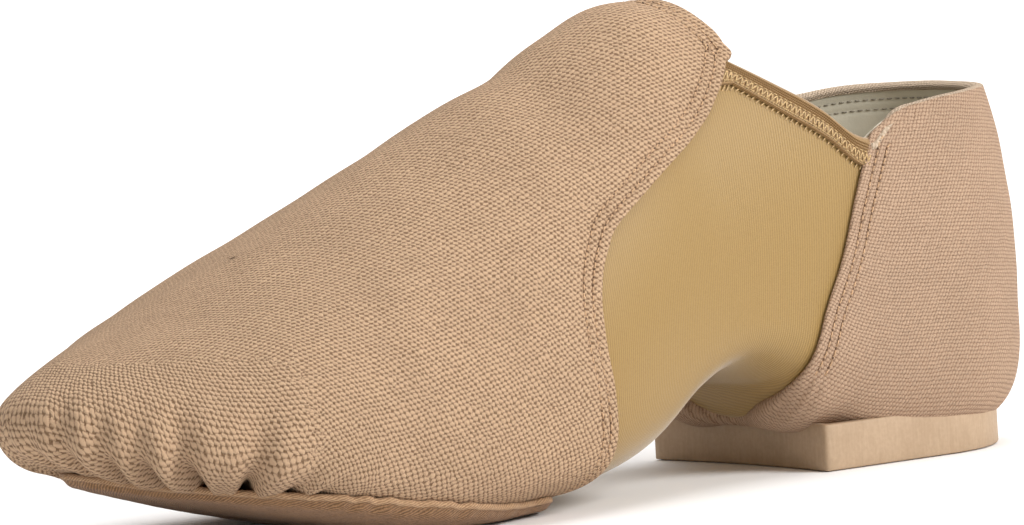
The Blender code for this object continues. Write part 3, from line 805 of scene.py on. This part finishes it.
def quarter_piece():
    rows = fine_rows(14)
    grids, rims = [], []
    for side in SIDES:
        flip = side.side > 0
        w, share = quarter_nodes(side, rows, 70)
        u, v = side_map(side, w, share)
        smooth_face = side.at(w, share, CANVAS_OUT)
        seam = seam_channel(far_from(smooth_face, edge_line(smooth_face[-1], 700)))
        rise = sway(u, v) * 0.8 + heel_fill(side, w, share) + breast_fill(side, w, share)
        rise += seam * soften(rows, 0.2, 0.3)
        grids.append((side.at(w, share, CANVAS_OUT + rise), (u, v), not flip))
        corner = np.linspace(w[-1, -1], float(place(CORNER_END)), CORNER_STEPS + 1)[1:]
        w_top = np.concatenate([w[:, -1], corner])
        top, girth = side.top(w_top), side.girth_at(w_top)
        high = np.concatenate([CANVAS_OUT + rise[:, -1], np.full(CORNER_STEPS, CANVAS_OUT)])
        overlap = np.concatenate([np.zeros(len(w)), np.full(CORNER_STEPS, CORNER_OVERLAP)])
        offset, past = half_round(-CLEARANCE, high)
        lip = [side.at(w_top, top - overlap / girth, high)]
        lip += list(side.at(w_top, top + 0.4 * past / girth, offset))
        lip += [side.at(w_top, top - drop / girth, -CLEARANCE) for drop in (0.0003, 0.0007)]
        lip = np.stack(lip, axis=1)
        steps = lip.shape[1]
        u_top, v_top = side_map(side, w_top, top)
        cap = np.stack([lip[-1], np.repeat(lip[-1].mean(0)[None], steps, 0)])
        cap_u = np.full((2, steps), u_top[-1])
        rims.append((cap, (cap_u, cap_u * 0 + v_top[-1]), not flip))
        lip_u = np.repeat(u_top[:, None], steps, 1)
        lip_v = v_top[:, None] + np.linspace(0, 0.006, steps)[None, :]
        rims.append((lip, (lip_u, lip_v), not flip))
        offset, past = half_round(CANVAS_IN, CANVAS_OUT + rise[-1])
        front = side.at(w[-1] + past / BODY_RUN, share[-1], offset)
        front_u = u[-1:] + side.side * np.linspace(0, 0.0015, len(front))[:, None]
        grids.append((front, (front_u, np.repeat(v[-1:], len(front), 0)), not flip))
    canvas = join_grids("quarter_canvas", grids, QUARTER_CANVAS)
    return canvas, join_grids("quarter_rim", rims, RIM_CANVAS)


UNDER_VAMP = 0.03


def upper_nodes(side, rows, steps, beyond=0.0):
    """w and share over the insert, from under the quarter's edge to under the vamp's."""
    edge = side.quarter_edge(rows)
    far = side.vamp_edge(rows) + beyond
    part = np.linspace(0, 1, steps + 1)
    w = edge[None, :] + part[:, None] * (far - edge)[None, :]
    start = float(side.quarter_edge(1.0))
    top_w = start + part * (float(side.vamp_edge(1.0)) + beyond - start)
    top = np.repeat(side.top(top_w)[:, None], len(rows), axis=1)
    return w, side.share(w, np.broadcast_to(rows, w.shape), top)


def wall_grids(offset, rows, channel=0.0, under_vamp=True):
    """Grids of the wall at an offset: quarter and insert zones, and the whole vamp zone or just a strip."""
    grids = []
    for side in SIDES:
        flip = side.side > 0
        insert = upper_nodes(side, rows, 60, 0.0 if under_vamp else UNDER_VAMP)
        for w, share in (quarter_nodes(side, rows, 30), insert):
            u, v = side_map(side, w, share)
            drop = (share[:, -1:] - share) * side.girth_at(w)
            rows_near = [bell(drop - at, 0.0006) for at in (RIM_FIRST, RIM_SECOND)]
            press = channel * sum(rows_near)
            if not under_vamp:
                press = press + breast_fill(side, w, share)
            grids.append((side.at(w, share, offset + press), (u, v), not flip))
        if not under_vamp:
            continue
        w, share = vamp_nodes(side, index_from(MARGIN_ROW, 3), 30, 24)
        u, v = side_map(side, w, share)
        grids.append((side.at(w, share, offset), (u, v), not flip))
    return grids


# Sewing threads
STITCH_STATIONS = (0.0, 0.14, 0.5, 0.86, 1.0)
STITCH_LIFT = (-1.0, 0.5, 0.9, 0.5, -1.0)
STITCH_FULL = (0.5, 1.0, 1.0, 1.0, 0.5)
STITCH_SIDES = 6


def inset(side, w, share, distance, toward):
    """Move a line on the surface sideways by a distance, toward a (w, share) direction."""
    step = 0.002
    along_w = (side.at(w + step, share) - side.at(w - step, share)) / (2 * step)
    along_s = (side.at(w, share + step) - side.at(w, share - step)) / (2 * step)
    line = np.gradient(side.at(w, share), axis=0)
    normal = np.cross(along_w, along_s)
    across = np.cross(normal, line)
    across /= np.linalg.norm(across, axis=1, keepdims=True)
    lean = (across * along_w).sum(1) * toward[0] + (across * along_s).sum(1) * toward[1]
    across *= np.sign(lean)[:, None] * distance
    a, b, c = (along_w**2).sum(1), (along_w * along_s).sum(1), (along_s**2).sum(1)
    p, q = (across * along_w).sum(1), (across * along_s).sum(1)
    spread = a * c - b * b
    return w + (c * p - b * q) / spread, share + (a * q - b * p) / spread


def pieces_along(side, w, share, pitch, length, phase=0.4):
    """Ends of the stitches of a row that follows a line, as (w, share, w, share)."""
    run = run_along(side.at(w, share))
    starts = np.arange(pitch * phase, run[-1] - length, pitch)
    found = [np.interp(at, run, line) for at in (starts, starts + length) for line in (w, share)]
    return np.stack(found, -1)


def threads(name, rows, look):
    """Short threads from (side, ends, offset, radius, inside) rows."""
    points, faces, start = [], [], 0
    for side, ends, offset, radius, inside in rows:
        t = np.array(STITCH_STATIONS)[None, :]
        w = ends[:, 0:1] + t * (ends[:, 2:3] - ends[:, 0:1])
        share = ends[:, 1:2] + t * (ends[:, 3:4] - ends[:, 1:2])
        sign = -1.0 if inside else 1.0
        lift = sign * radius * np.array(STITCH_LIFT)[None, :]
        centre = side.at(w, share, offset + lift)
        normal = side.at(w, share, 0.001) - side.at(w, share, 0.0)
        normal *= sign / np.linalg.norm(normal, axis=-1, keepdims=True)
        forward = np.gradient(centre, axis=1)
        across = np.cross(normal, forward)
        across /= np.linalg.norm(across, axis=-1, keepdims=True)
        turn = np.linspace(0, 2 * np.pi, STITCH_SIDES, endpoint=False)
        full = radius * np.array(STITCH_FULL)[None, :, None, None]
        ring = normal[:, :, None] * np.cos(turn)[None, None, :, None]
        ring = ring + across[:, :, None] * np.sin(turn)[None, None, :, None]
        tube = centre[:, :, None] + full * ring
        count = len(tube)
        stations = len(STITCH_STATIONS)
        points.append(tube.reshape(-1, 3))
        steps = (np.arange(count), np.arange(stations - 1), np.arange(STITCH_SIDES))
        k, i, j = np.meshgrid(*steps, indexing="ij")
        j2 = (j + 1) % STITCH_SIDES
        base = start + k * stations * STITCH_SIDES
        a, b = base + i * STITCH_SIDES + j, base + i * STITCH_SIDES + j2
        c, d = b + STITCH_SIDES, a + STITCH_SIDES
        faces.append(np.stack([a, b, c, d], -1).reshape(-1, 4))
        start += count * stations * STITCH_SIDES
    return link(name, np.vstack(points), np.vstack(faces), look)


STITCH_PITCH = 0.0018
STITCH_LENGTH = 0.0013
STITCH_RADIUS = 0.00016
HOLE_LENGTH = 0.00055
HOLE_RADIUS = 0.00019
RIM_FIRST = 0.0026
RIM_SECOND = 0.0048


def hole_phase():
    """Where a hole lies in the pitch, in the gap between two stitches."""
    return 0.4 + (STITCH_LENGTH + (STITCH_PITCH - STITCH_LENGTH - HOLE_LENGTH) / 2) / STITCH_PITCH


def seam_threads(panel, hole_shades=False):
    """Stitches, or dark tubes of painted shade at each needle hole between them, in the two rows of a panel's
    seam.
    """
    vamp = panel == "vamp"
    rows = np.linspace(0.26, 1.99, 500) if vamp else np.linspace(0.25, 0.97, 300)
    length, phase, radius, sunk = STITCH_LENGTH, 0.4, STITCH_RADIUS, SEAM_DEPTH * 0.6
    if hole_shades:
        # Each hole mark is a thin dark tube: painted shade at the needle hole.
        length, phase, radius = HOLE_LENGTH, hole_phase(), HOLE_RADIUS
        sunk += 0.00010 if vamp else 0.00012
    found = []
    for side in SIDES:
        w = side.vamp_edge(rows) if vamp else side.quarter_edge(rows)
        top = side.tongue if vamp else side.top(float(side.quarter_edge(1.0)))
        share = side.share(w, rows, top)
        for distance in (SEAM_FIRST, SEAM_SECOND):
            line = np.array(inset(side, w, share, distance, (1, -0.001) if vamp else (-1, 0.0)))
            if vamp:
                line = line[:, (line[1] < 0.998) & (np.abs(line[0] - w) < 0.15)]
            ends = pieces_along(side, *line, STITCH_PITCH, length, phase)
            rise = tongue_form(side, ends[:, :1], ends[:, 1:2]) if vamp else 0.0
            found.append((side, ends, CANVAS_OUT - sunk + rise, radius, False))
    kind, look = ("hole_shades", HOLE_SHADE_LOOK) if hole_shades else ("stitches", THREAD)
    return threads(f"{panel}_{kind}", found, look)


def rim_threads():
    """Two rows of stitches in the lining around the collar."""
    found = []
    for side in SIDES:
        w = np.linspace(0.0, float(side.quarter_edge(0.96)), 300)
        top = side.top(w)
        for drop in (RIM_FIRST, RIM_SECOND):
            ends = pieces_along(side, w, top - drop / side.girth_at(w), 0.0017, 0.0012)
            found.append((side, ends, 0.00012, STITCH_RADIUS, True))
    return threads("lining_stitches", found, GREY_THREAD)


# Elastic tape over the topline
TAPE = 0.0009
TAPE_WIDTH = 0.0050
TAPE_INSIDE = 0.0034
TAPE_GAP = 0.0004
TAPE_START = 0.196
TAPE_OUT = UPPER_WALL + CLEARANCE + TAPE
TAPE_IN = -CLEARANCE - TAPE
CORD_PITCH = 0.00064
LADDER_PITCH = 0.0012
TAPE_RUN = 0.056
PRESSED_ROWS = (0.0020, 0.0044)


def tape_line(side, drop, steps):
    """w and share of a line below the topline, from the quarter's edge to the vamp's."""
    ends = []
    for edge, gap in ((side.quarter_edge, TAPE_GAP), (side.vamp_edge, -TAPE_GAP)):
        w = edge(0.97)
        for _ in range(14):
            feather, top = side.feather(w), side.top(w)
            row = 1 - (drop / side.girth_at(w)) / (top - feather) * (1 - FEATHER_ROW)
            w = edge(min(float(row), 1.0))
        if gap > 0:
            w = max(float(w), float(place(TAPE_START)))
        ends.append(float(w) + gap / BODY_RUN)
    w = np.linspace(ends[0], ends[1], steps)
    return w, side.top(w) - drop / side.girth_at(w)


def tape_piece(side, name):
    """Folded tape: fine cords along its upper part, a pressed cover-stitch band below."""
    steps = 260
    drops = np.concatenate([np.full(4, TAPE_WIDTH), np.linspace(TAPE_WIDTH, 0, 76)[1:]])
    outer = np.full(len(drops), TAPE_OUT)
    outer[:4] = (UPPER_WALL + 0.0001, UPPER_WALL + 0.0004, UPPER_WALL + 0.0008, TAPE_OUT - 0.0001)
    run = np.linspace(0, TAPE_RUN, steps)
    laid = []
    for drop, offset in zip(drops, outer):
        w, share = tape_line(side, float(drop), steps)
        ribs = 0.00022 * np.cos(2 * np.pi * drop / CORD_PITCH) * float(drop < 0.0019)
        ladder = 0.00010 * np.sin(2 * np.pi * run / LADDER_PITCH) * float(0.0019 < drop < 0.0047)
        press = -0.00016 * sum(bell(drop - row, 0.0002) for row in PRESSED_ROWS)
        tuck = -0.0007 * bell(run, 0.0018) * float(offset == TAPE_OUT)
        laid.append((side.at(w, share, offset + ribs + ladder + press + tuck), drop))
    middle, radius = (TAPE_OUT + TAPE_IN) / 2, (TAPE_OUT - TAPE_IN) / 2
    w, share = tape_line(side, 0.0, steps)
    for angle in np.linspace(0, np.pi, 28)[1:]:
        rise = radius * np.sin(angle) * 0.85 + 0.00007 * np.cos(angle * 16)
        points = side.at(w, share + rise / side.girth_at(w), middle + radius * np.cos(angle))
        laid.append((points, -radius * angle))
    for drop in np.linspace(0, TAPE_INSIDE, 14)[1:]:
        w, share = tape_line(side, float(drop), steps)
        offset = TAPE_IN + 0.00005 * np.cos(2 * np.pi * drop / CORD_PITCH)
        laid.append((side.at(w, share, offset), -0.006 - drop))
    laid.append((side.at(w, share, -CLEARANCE * 0.3), -0.0066 - TAPE_INSIDE))
    grid = np.stack([points for points, _ in laid])
    u = np.repeat(run[None], len(laid), 0)
    v = np.repeat(np.array([at for _, at in laid])[:, None], steps, 1)
    return join_grids(name, [(grid, (u, v), side.side < 0)], ELASTIC)


def tape_threads(side, name):
    """Cover stitch: two needle lines, a zigzag between them, and bars over the lower edge."""
    found = []
    for drop in PRESSED_ROWS:
        w, share = tape_line(side, drop, 300)
        ends = pieces_along(side, w, share, LADDER_PITCH, 0.00095, 1.8)
        found.append((side, ends, TAPE_OUT - 0.00002, 0.00013, False))
    lines = [tape_line(side, drop, 300) for drop in (0.0022, 0.0042, 0.0047, 0.0062)]
    count = int(run_along(side.at(*lines[0]))[-1] / LADDER_PITCH)
    at = np.linspace(0.045, 0.99, 2 * count)

    def pick(line, part):
        return [np.interp(part, np.linspace(0, 1, 300), values) for values in lines[line]]

    zig = [pick(0, at[:-1:2]), pick(1, at[1::2])]
    zag = [pick(1, at[1:-1:2]), pick(0, at[2::2])]
    bars = [pick(2, at[::2]), pick(3, at[::2] + 0.002)]
    for low, high in (zig, zag):
        size = min(len(low[0]), len(high[0]))
        ends = np.stack([low[0][:size], low[1][:size], high[0][:size], high[1][:size]], -1)
        found.append((side, ends, TAPE_OUT + 0.00008, 0.00017, False))
    ends = np.stack([bars[0][0], bars[0][1], bars[1][0], bars[1][1]], -1)
    found.append((side, ends, UPPER_WALL + 0.00014, 0.00018, False))
    upper_ends = np.stack([*pick(1, at[::2]), *pick(2, at[::2])], -1)
    found.append((side, upper_ends, TAPE_OUT + 0.00004, 0.00016, False))
    return threads(name, found, BINDING_THREAD)


# Suede forefoot patch
SUEDE_THINNED = 0.0007


def patch_piece():
    """Suede cupped up at its edge, its rim thinned, rounded and slightly wavy."""
    rear = PATCH_REAR + PATCH_END * (1 - np.cos(np.linspace(0, np.pi / 2, 26)))
    body = np.linspace(rear[-1], TOE_PIVOT, 80)[1:]
    ws = np.concatenate([place(np.concatenate([rear, body])), 2 + np.linspace(0, 1, 121)[1:]])
    stations = outline(ws, 1)[0] / LENGTH
    grids, edges = [], []
    for side in SIDES:
        flip = side.side < 0
        ahead = np.minimum((stations - PATCH_REAR) / PATCH_END, 1)
        taper = np.sqrt(np.maximum(1 - (1 - ahead) ** 2, 0))
        girth = side.girth_at(ws)
        run = plan_run(side, ws)
        wavy = 0.00022 * np.sin(run * 760 + 2 * np.sin(run * 210)) + 0.00016 * np.sin(run * 1270 + side.side)
        cup = (PATCH_CUP + 0.0004) * (1 - PATCH_DRAW * np.maximum(ws - 2, 0) ** 2)
        rim = (side.feather(ws) + (cup + wavy) / girth) * taper
        part = np.concatenate([np.linspace(0, 0.90, 34), np.linspace(0.90, 1, 12)[1:]])
        share = rim[:, None] * part[None, :]
        w = np.repeat(ws[:, None], len(part), 1)
        from_rim = (rim[:, None] - share) * girth[:, None]
        thin = SUEDE_THINNED * bell(from_rim, 0.0012)
        u, v = side_map(side, w, share)
        puff = 0.00025 * soften(from_rim, 0.0, 0.003) + 0.00008 * np.sin(u * 900) * np.sin(v * 700 + u * 300)
        outer = side.at(w, share, SUEDE_OUT - thin + puff)
        outer[..., 2] = np.maximum(outer[..., 2], 0.0)
        grids.append((outer, (u, v), flip))
        offset, past = half_round(CANVAS_OUT, SUEDE_OUT - SUEDE_THINNED)
        edge = side.at(ws, rim + 0.9 * past / girth, offset).transpose(1, 0, 2)
        edge[..., 2] = np.maximum(edge[..., 2], 0.0)
        edge_v = v[:, -1:] + np.linspace(0, 0.003, edge.shape[1])[None, :]
        edges.append((edge, (np.repeat(u[:, -1:], edge.shape[1], 1), edge_v), flip))
    patch = join_grids("suede_patch", grids, SUEDE_LOOK)
    return patch, join_grids("suede_edge", edges, SUEDE_EDGE)


def sock_piece():
    """Insole cloth over its board, with a rounded edge."""
    rows = np.linspace(0, INSOLE_ROW, 24)
    grids = []
    for side in SIDES:
        flip = side.side > 0
        zones = [quarter_nodes(side, rows, 30), upper_nodes(side, rows, 30)]
        index = np.linspace(0, ROWS.index(INSOLE_ROW), 24)
        zones.append(vamp_nodes(side, index, 30, 30))
        for w, share in zones:
            u, v = side_map(side, w, share)
            inward = -CLEARANCE - INSOLE_THICKNESS + 0.00012 * np.sin(u * 160) * np.sin(v * 190)
            grids.append((side.at(w, share, inward), (u, v), flip))
            turn = np.linspace(0, np.pi / 2, 5)[:, None]
            past = INSOLE_THICKNESS * 0.5 * np.sin(turn) / side.girth_at(w[:, -1])
            offset = -CLEARANCE - INSOLE_THICKNESS * np.cos(turn)
            edge = side.at(w[:, -1], share[:, -1] + past, offset).transpose(1, 0, 2)
            edge_v = v[:, -1:] + np.linspace(0, 0.002, 5)[None, :]
            grids.append((edge, (np.repeat(u[:, -1:], 5, 1), edge_v), flip))
    return join_grids("insole_sock", grids, SOCK)


# Heel block
SEAT_RINGS = (0.93, 0.80, 0.62, 0.42, 0.20)


def heel_piece():
    """Heel block with softened edges, its seat hidden under the canvas."""
    half = HEEL_WIDTH / 2
    breast = HEEL_INSET + HEEL_LENGTH
    round_from = HEEL_INSET + half
    points = []
    for angle in np.linspace(np.pi / 2, -np.pi / 2, 97):
        reach = max(np.cos(angle), 0.0) ** (2 / HEEL_ROUND)
        across = np.sign(np.sin(angle)) * abs(np.sin(angle)) ** (2 / HEEL_ROUND)
        points.append((round_from - half * reach, HEEL_SHIFT + half * across))
    corner = 0.0006
    flank = np.linspace(round_from, breast - corner + HEEL_SKEW / 2, 24)[1:]
    points += [(x, HEEL_SHIFT - half) for x in flank]
    for part in np.linspace(-1 + corner / half, 1 - corner / half, 40):
        points.append((breast - HEEL_SKEW * part / 2 - HEEL_HOLLOW * (1 - part**2), HEEL_SHIFT + half * part))
    flank = np.linspace(breast - corner - HEEL_SKEW / 2, round_from, 24)[:-1]
    points += [(x, HEEL_SHIFT + half) for x in flank]
    plan = np.array(points)
    along = np.roll(plan, -1, 0) - np.roll(plan, 1, 0)
    along /= np.linalg.norm(along, axis=1, keepdims=True)
    inward = np.stack([-along[:, 1], along[:, 0]], -1)
    top = HEEL_HEIGHT + HEEL_RIM
    rings = (
        (0.0060, 0.0), (0.0004, 0.0), (0.00012, 0.00010), (0.0, 0.00035), (0.0, 0.0030), (0.0, 0.0060),
        (0.0, top - 0.0004), (0.00010, top - 0.00012), (0.00035, top),
    )
    count = len(plan)
    solid, faces = [], []
    for inset_by, z in rings:
        flat = plan + inward * inset_by
        solid.append(np.column_stack([flat, np.full(count, z)]))
    centre = np.array([HEEL_INSET + HEEL_LENGTH / 2, HEEL_SHIFT])
    for share in SEAT_RINGS:
        flat = centre + (plan - centre) * share
        seat = bed(flat[:, 0]) - CANVAS_OUT - CLEARANCE
        z = np.full(count, top) if share > 0.9 else np.minimum(seat, top)
        solid.append(np.column_stack([flat, z]))
    for ring in range(len(solid) - 1):
        for i in range(count):
            j = (i + 1) % count
            faces.append((ring * count + i, ring * count + j, (ring + 1) * count + j, (ring + 1) * count + i))
    seat_ring, middle = (len(solid) - 1) * count, len(solid) * count
    for i in range(count):
        faces.append(((i + 1) % count, i, middle))
        faces.append((seat_ring + i, seat_ring + (i + 1) % count, middle + 1))
    seat = float(bed(centre[0])) - CANVAS_OUT - CLEARANCE
    solid.append(np.array([[*centre, 0.0], [*centre, seat]]))
    made = link("heel_block", np.vstack(solid) + ORIGIN, faces, HEEL_LOOK)
    made.data.set_sharp_from_angle(angle=np.radians(50))
    return made


def build_shoe():
    rows = fine_rows(10)
    quarter_canvas, quarter_rim = quarter_piece()
    patch, patch_edge = patch_piece()
    outer = join_grids("stretch_insert", wall_grids(UPPER_WALL, rows, under_vamp=False), STRETCH)
    inside = [(grid, uv, not flip) for grid, uv, flip in wall_grids(0.0, rows, 0.00022)]
    inner = join_grids("lining", inside, LINING)
    return (
        (vamp_piece(), "vamp", "canvas"),
        (seam_threads("vamp"), "vamp", "canvas"),
        (seam_threads("vamp", True), "vamp", "canvas"),
        (quarter_canvas, "quarter", "canvas"),
        (quarter_rim, "quarter", "canvas"),
        (seam_threads("quarter"), "quarter", "canvas"),
        (seam_threads("quarter", True), "quarter", "canvas"),
        (outer, "upper", "stretch"),
        (inner, "upper", "sock"),
        (rim_threads(), "upper", "sock"),
        (tape_piece(LEFT, "tape_left"), "binding_left", "elastic"),
        (tape_threads(LEFT, "tape_left_stitches"), "binding_left", "elastic"),
        (tape_piece(RIGHT, "tape_right"), "binding_right", "elastic"),
        (tape_threads(RIGHT, "tape_right_stitches"), "binding_right", "elastic"),
        (patch, "forefoot_sole", "suede"),
        (patch_edge, "forefoot_sole", "suede"),
        (sock_piece(), "insole", "sock"),
        (heel_piece(), "heel", "heel_leather"),
    )


for thing, node, slot in build_shoe():
    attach(thing, "root")
    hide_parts(node)

for name, look in (("insole", SOCK), ("forefoot_sole", SUEDE_LOOK), ("heel", HEEL_LOOK), ("upper", STRETCH),
                   ("vamp", VAMP_CANVAS), ("quarter", QUARTER_CANVAS),
                   ("binding_left", ELASTIC), ("binding_right", ELASTIC)):
    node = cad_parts[name]
    node.data.materials.clear()
    node.data.materials.append(look)


# Floor, light and camera
AZIMUTH = 142.8
ELEVATION = 4.8
ROLL = -3.3
DISTANCE = 1.6
FOCAL_PIXELS = 7860.0
TARGET = Vector((0.1243 + ORIGIN[0], ORIGIN[1], 0.045))
CENTRE_PIXEL = (508.0, 278.0)
PHOTO_SIZE = (1024, 525)
SENSOR = 36.0
FLOOR_REACH = 6.0


def camera():
    az, el, roll = np.radians(AZIMUTH), np.radians(ELEVATION), np.radians(ROLL)
    back = Vector((np.sin(az) * np.cos(el), -np.cos(az) * np.cos(el), np.sin(el)))
    right = Vector((np.cos(az), np.sin(az), 0.0))
    up = back.cross(right)
    right, up = right * np.cos(roll) + up * np.sin(roll), up * np.cos(roll) - right * np.sin(roll)
    data = bpy.data.cameras.new("camera")
    data.sensor_width = SENSOR
    data.lens = FOCAL_PIXELS / PHOTO_SIZE[0] * SENSOR
    data.shift_x = (PHOTO_SIZE[0] / 2 - CENTRE_PIXEL[0]) / PHOTO_SIZE[0]
    data.shift_y = (CENTRE_PIXEL[1] - PHOTO_SIZE[1] / 2) / PHOTO_SIZE[0]
    data.clip_start = 0.05
    thing = bpy.data.objects.new("camera", data)
    turn = Matrix((right, up, back)).transposed().to_4x4()
    thing.matrix_world = Matrix.Translation(TARGET + back * DISTANCE) @ turn
    bpy.context.scene.collection.objects.link(thing)
    bpy.context.scene.camera = thing


def floor():
    mesh = bpy.data.meshes.new("floor")
    corners = [(x * FLOOR_REACH, y * FLOOR_REACH, 0) for x, y in ((-1, -1), (1, -1), (1, 1), (-1, 1))]
    mesh.from_pydata(corners, [], [(0, 1, 2, 3)])
    look = Look("pale_floor", 0.9)
    look.shader.inputs["Base Color"].default_value = (0.98, 0.98, 0.98, 1.0)
    look.shader.inputs["Specular IOR Level"].default_value = 0.1
    mesh.materials.append(look.material)
    thing = bpy.data.objects.new("floor", mesh)
    bpy.context.scene.collection.objects.link(thing)
    thing.location.z = -0.0002


def area_light(name, place_m, aim, size, power):
    data = bpy.data.lights.new(name, "AREA")
    data.shape = "RECTANGLE"
    data.size = data.size_y = size
    data.energy = power
    thing = bpy.data.objects.new(name, data)
    place_m, aim = Vector(place_m), Vector(aim)
    thing.location = place_m
    thing.rotation_euler = (aim - place_m).to_track_quat("-Z", "Y").to_euler()
    bpy.context.scene.collection.objects.link(thing)


def lights():
    world = bpy.data.worlds.new("studio")
    world.use_nodes = True
    background = world.node_tree.nodes["Background"]
    background.inputs["Color"].default_value = (1.0, 1.0, 1.0, 1.0)
    background.inputs["Strength"].default_value = 0.38
    bpy.context.scene.world = world
    bpy.context.scene.view_settings.view_transform = "Standard"
    centre = (0.09, 0.0, 0.04)
    area_light("key", (-0.5, 1.3, 0.9), centre, 0.7, 23.0)
    area_light("top", (0.1, 0.0, 1.5), centre, 1.3, 14.0)
    area_light("behind", (-1.3, -1.8, 1.3), (-1.3, -1.8, 0.0), 2.6, 42.0)


camera()
floor()
lights()
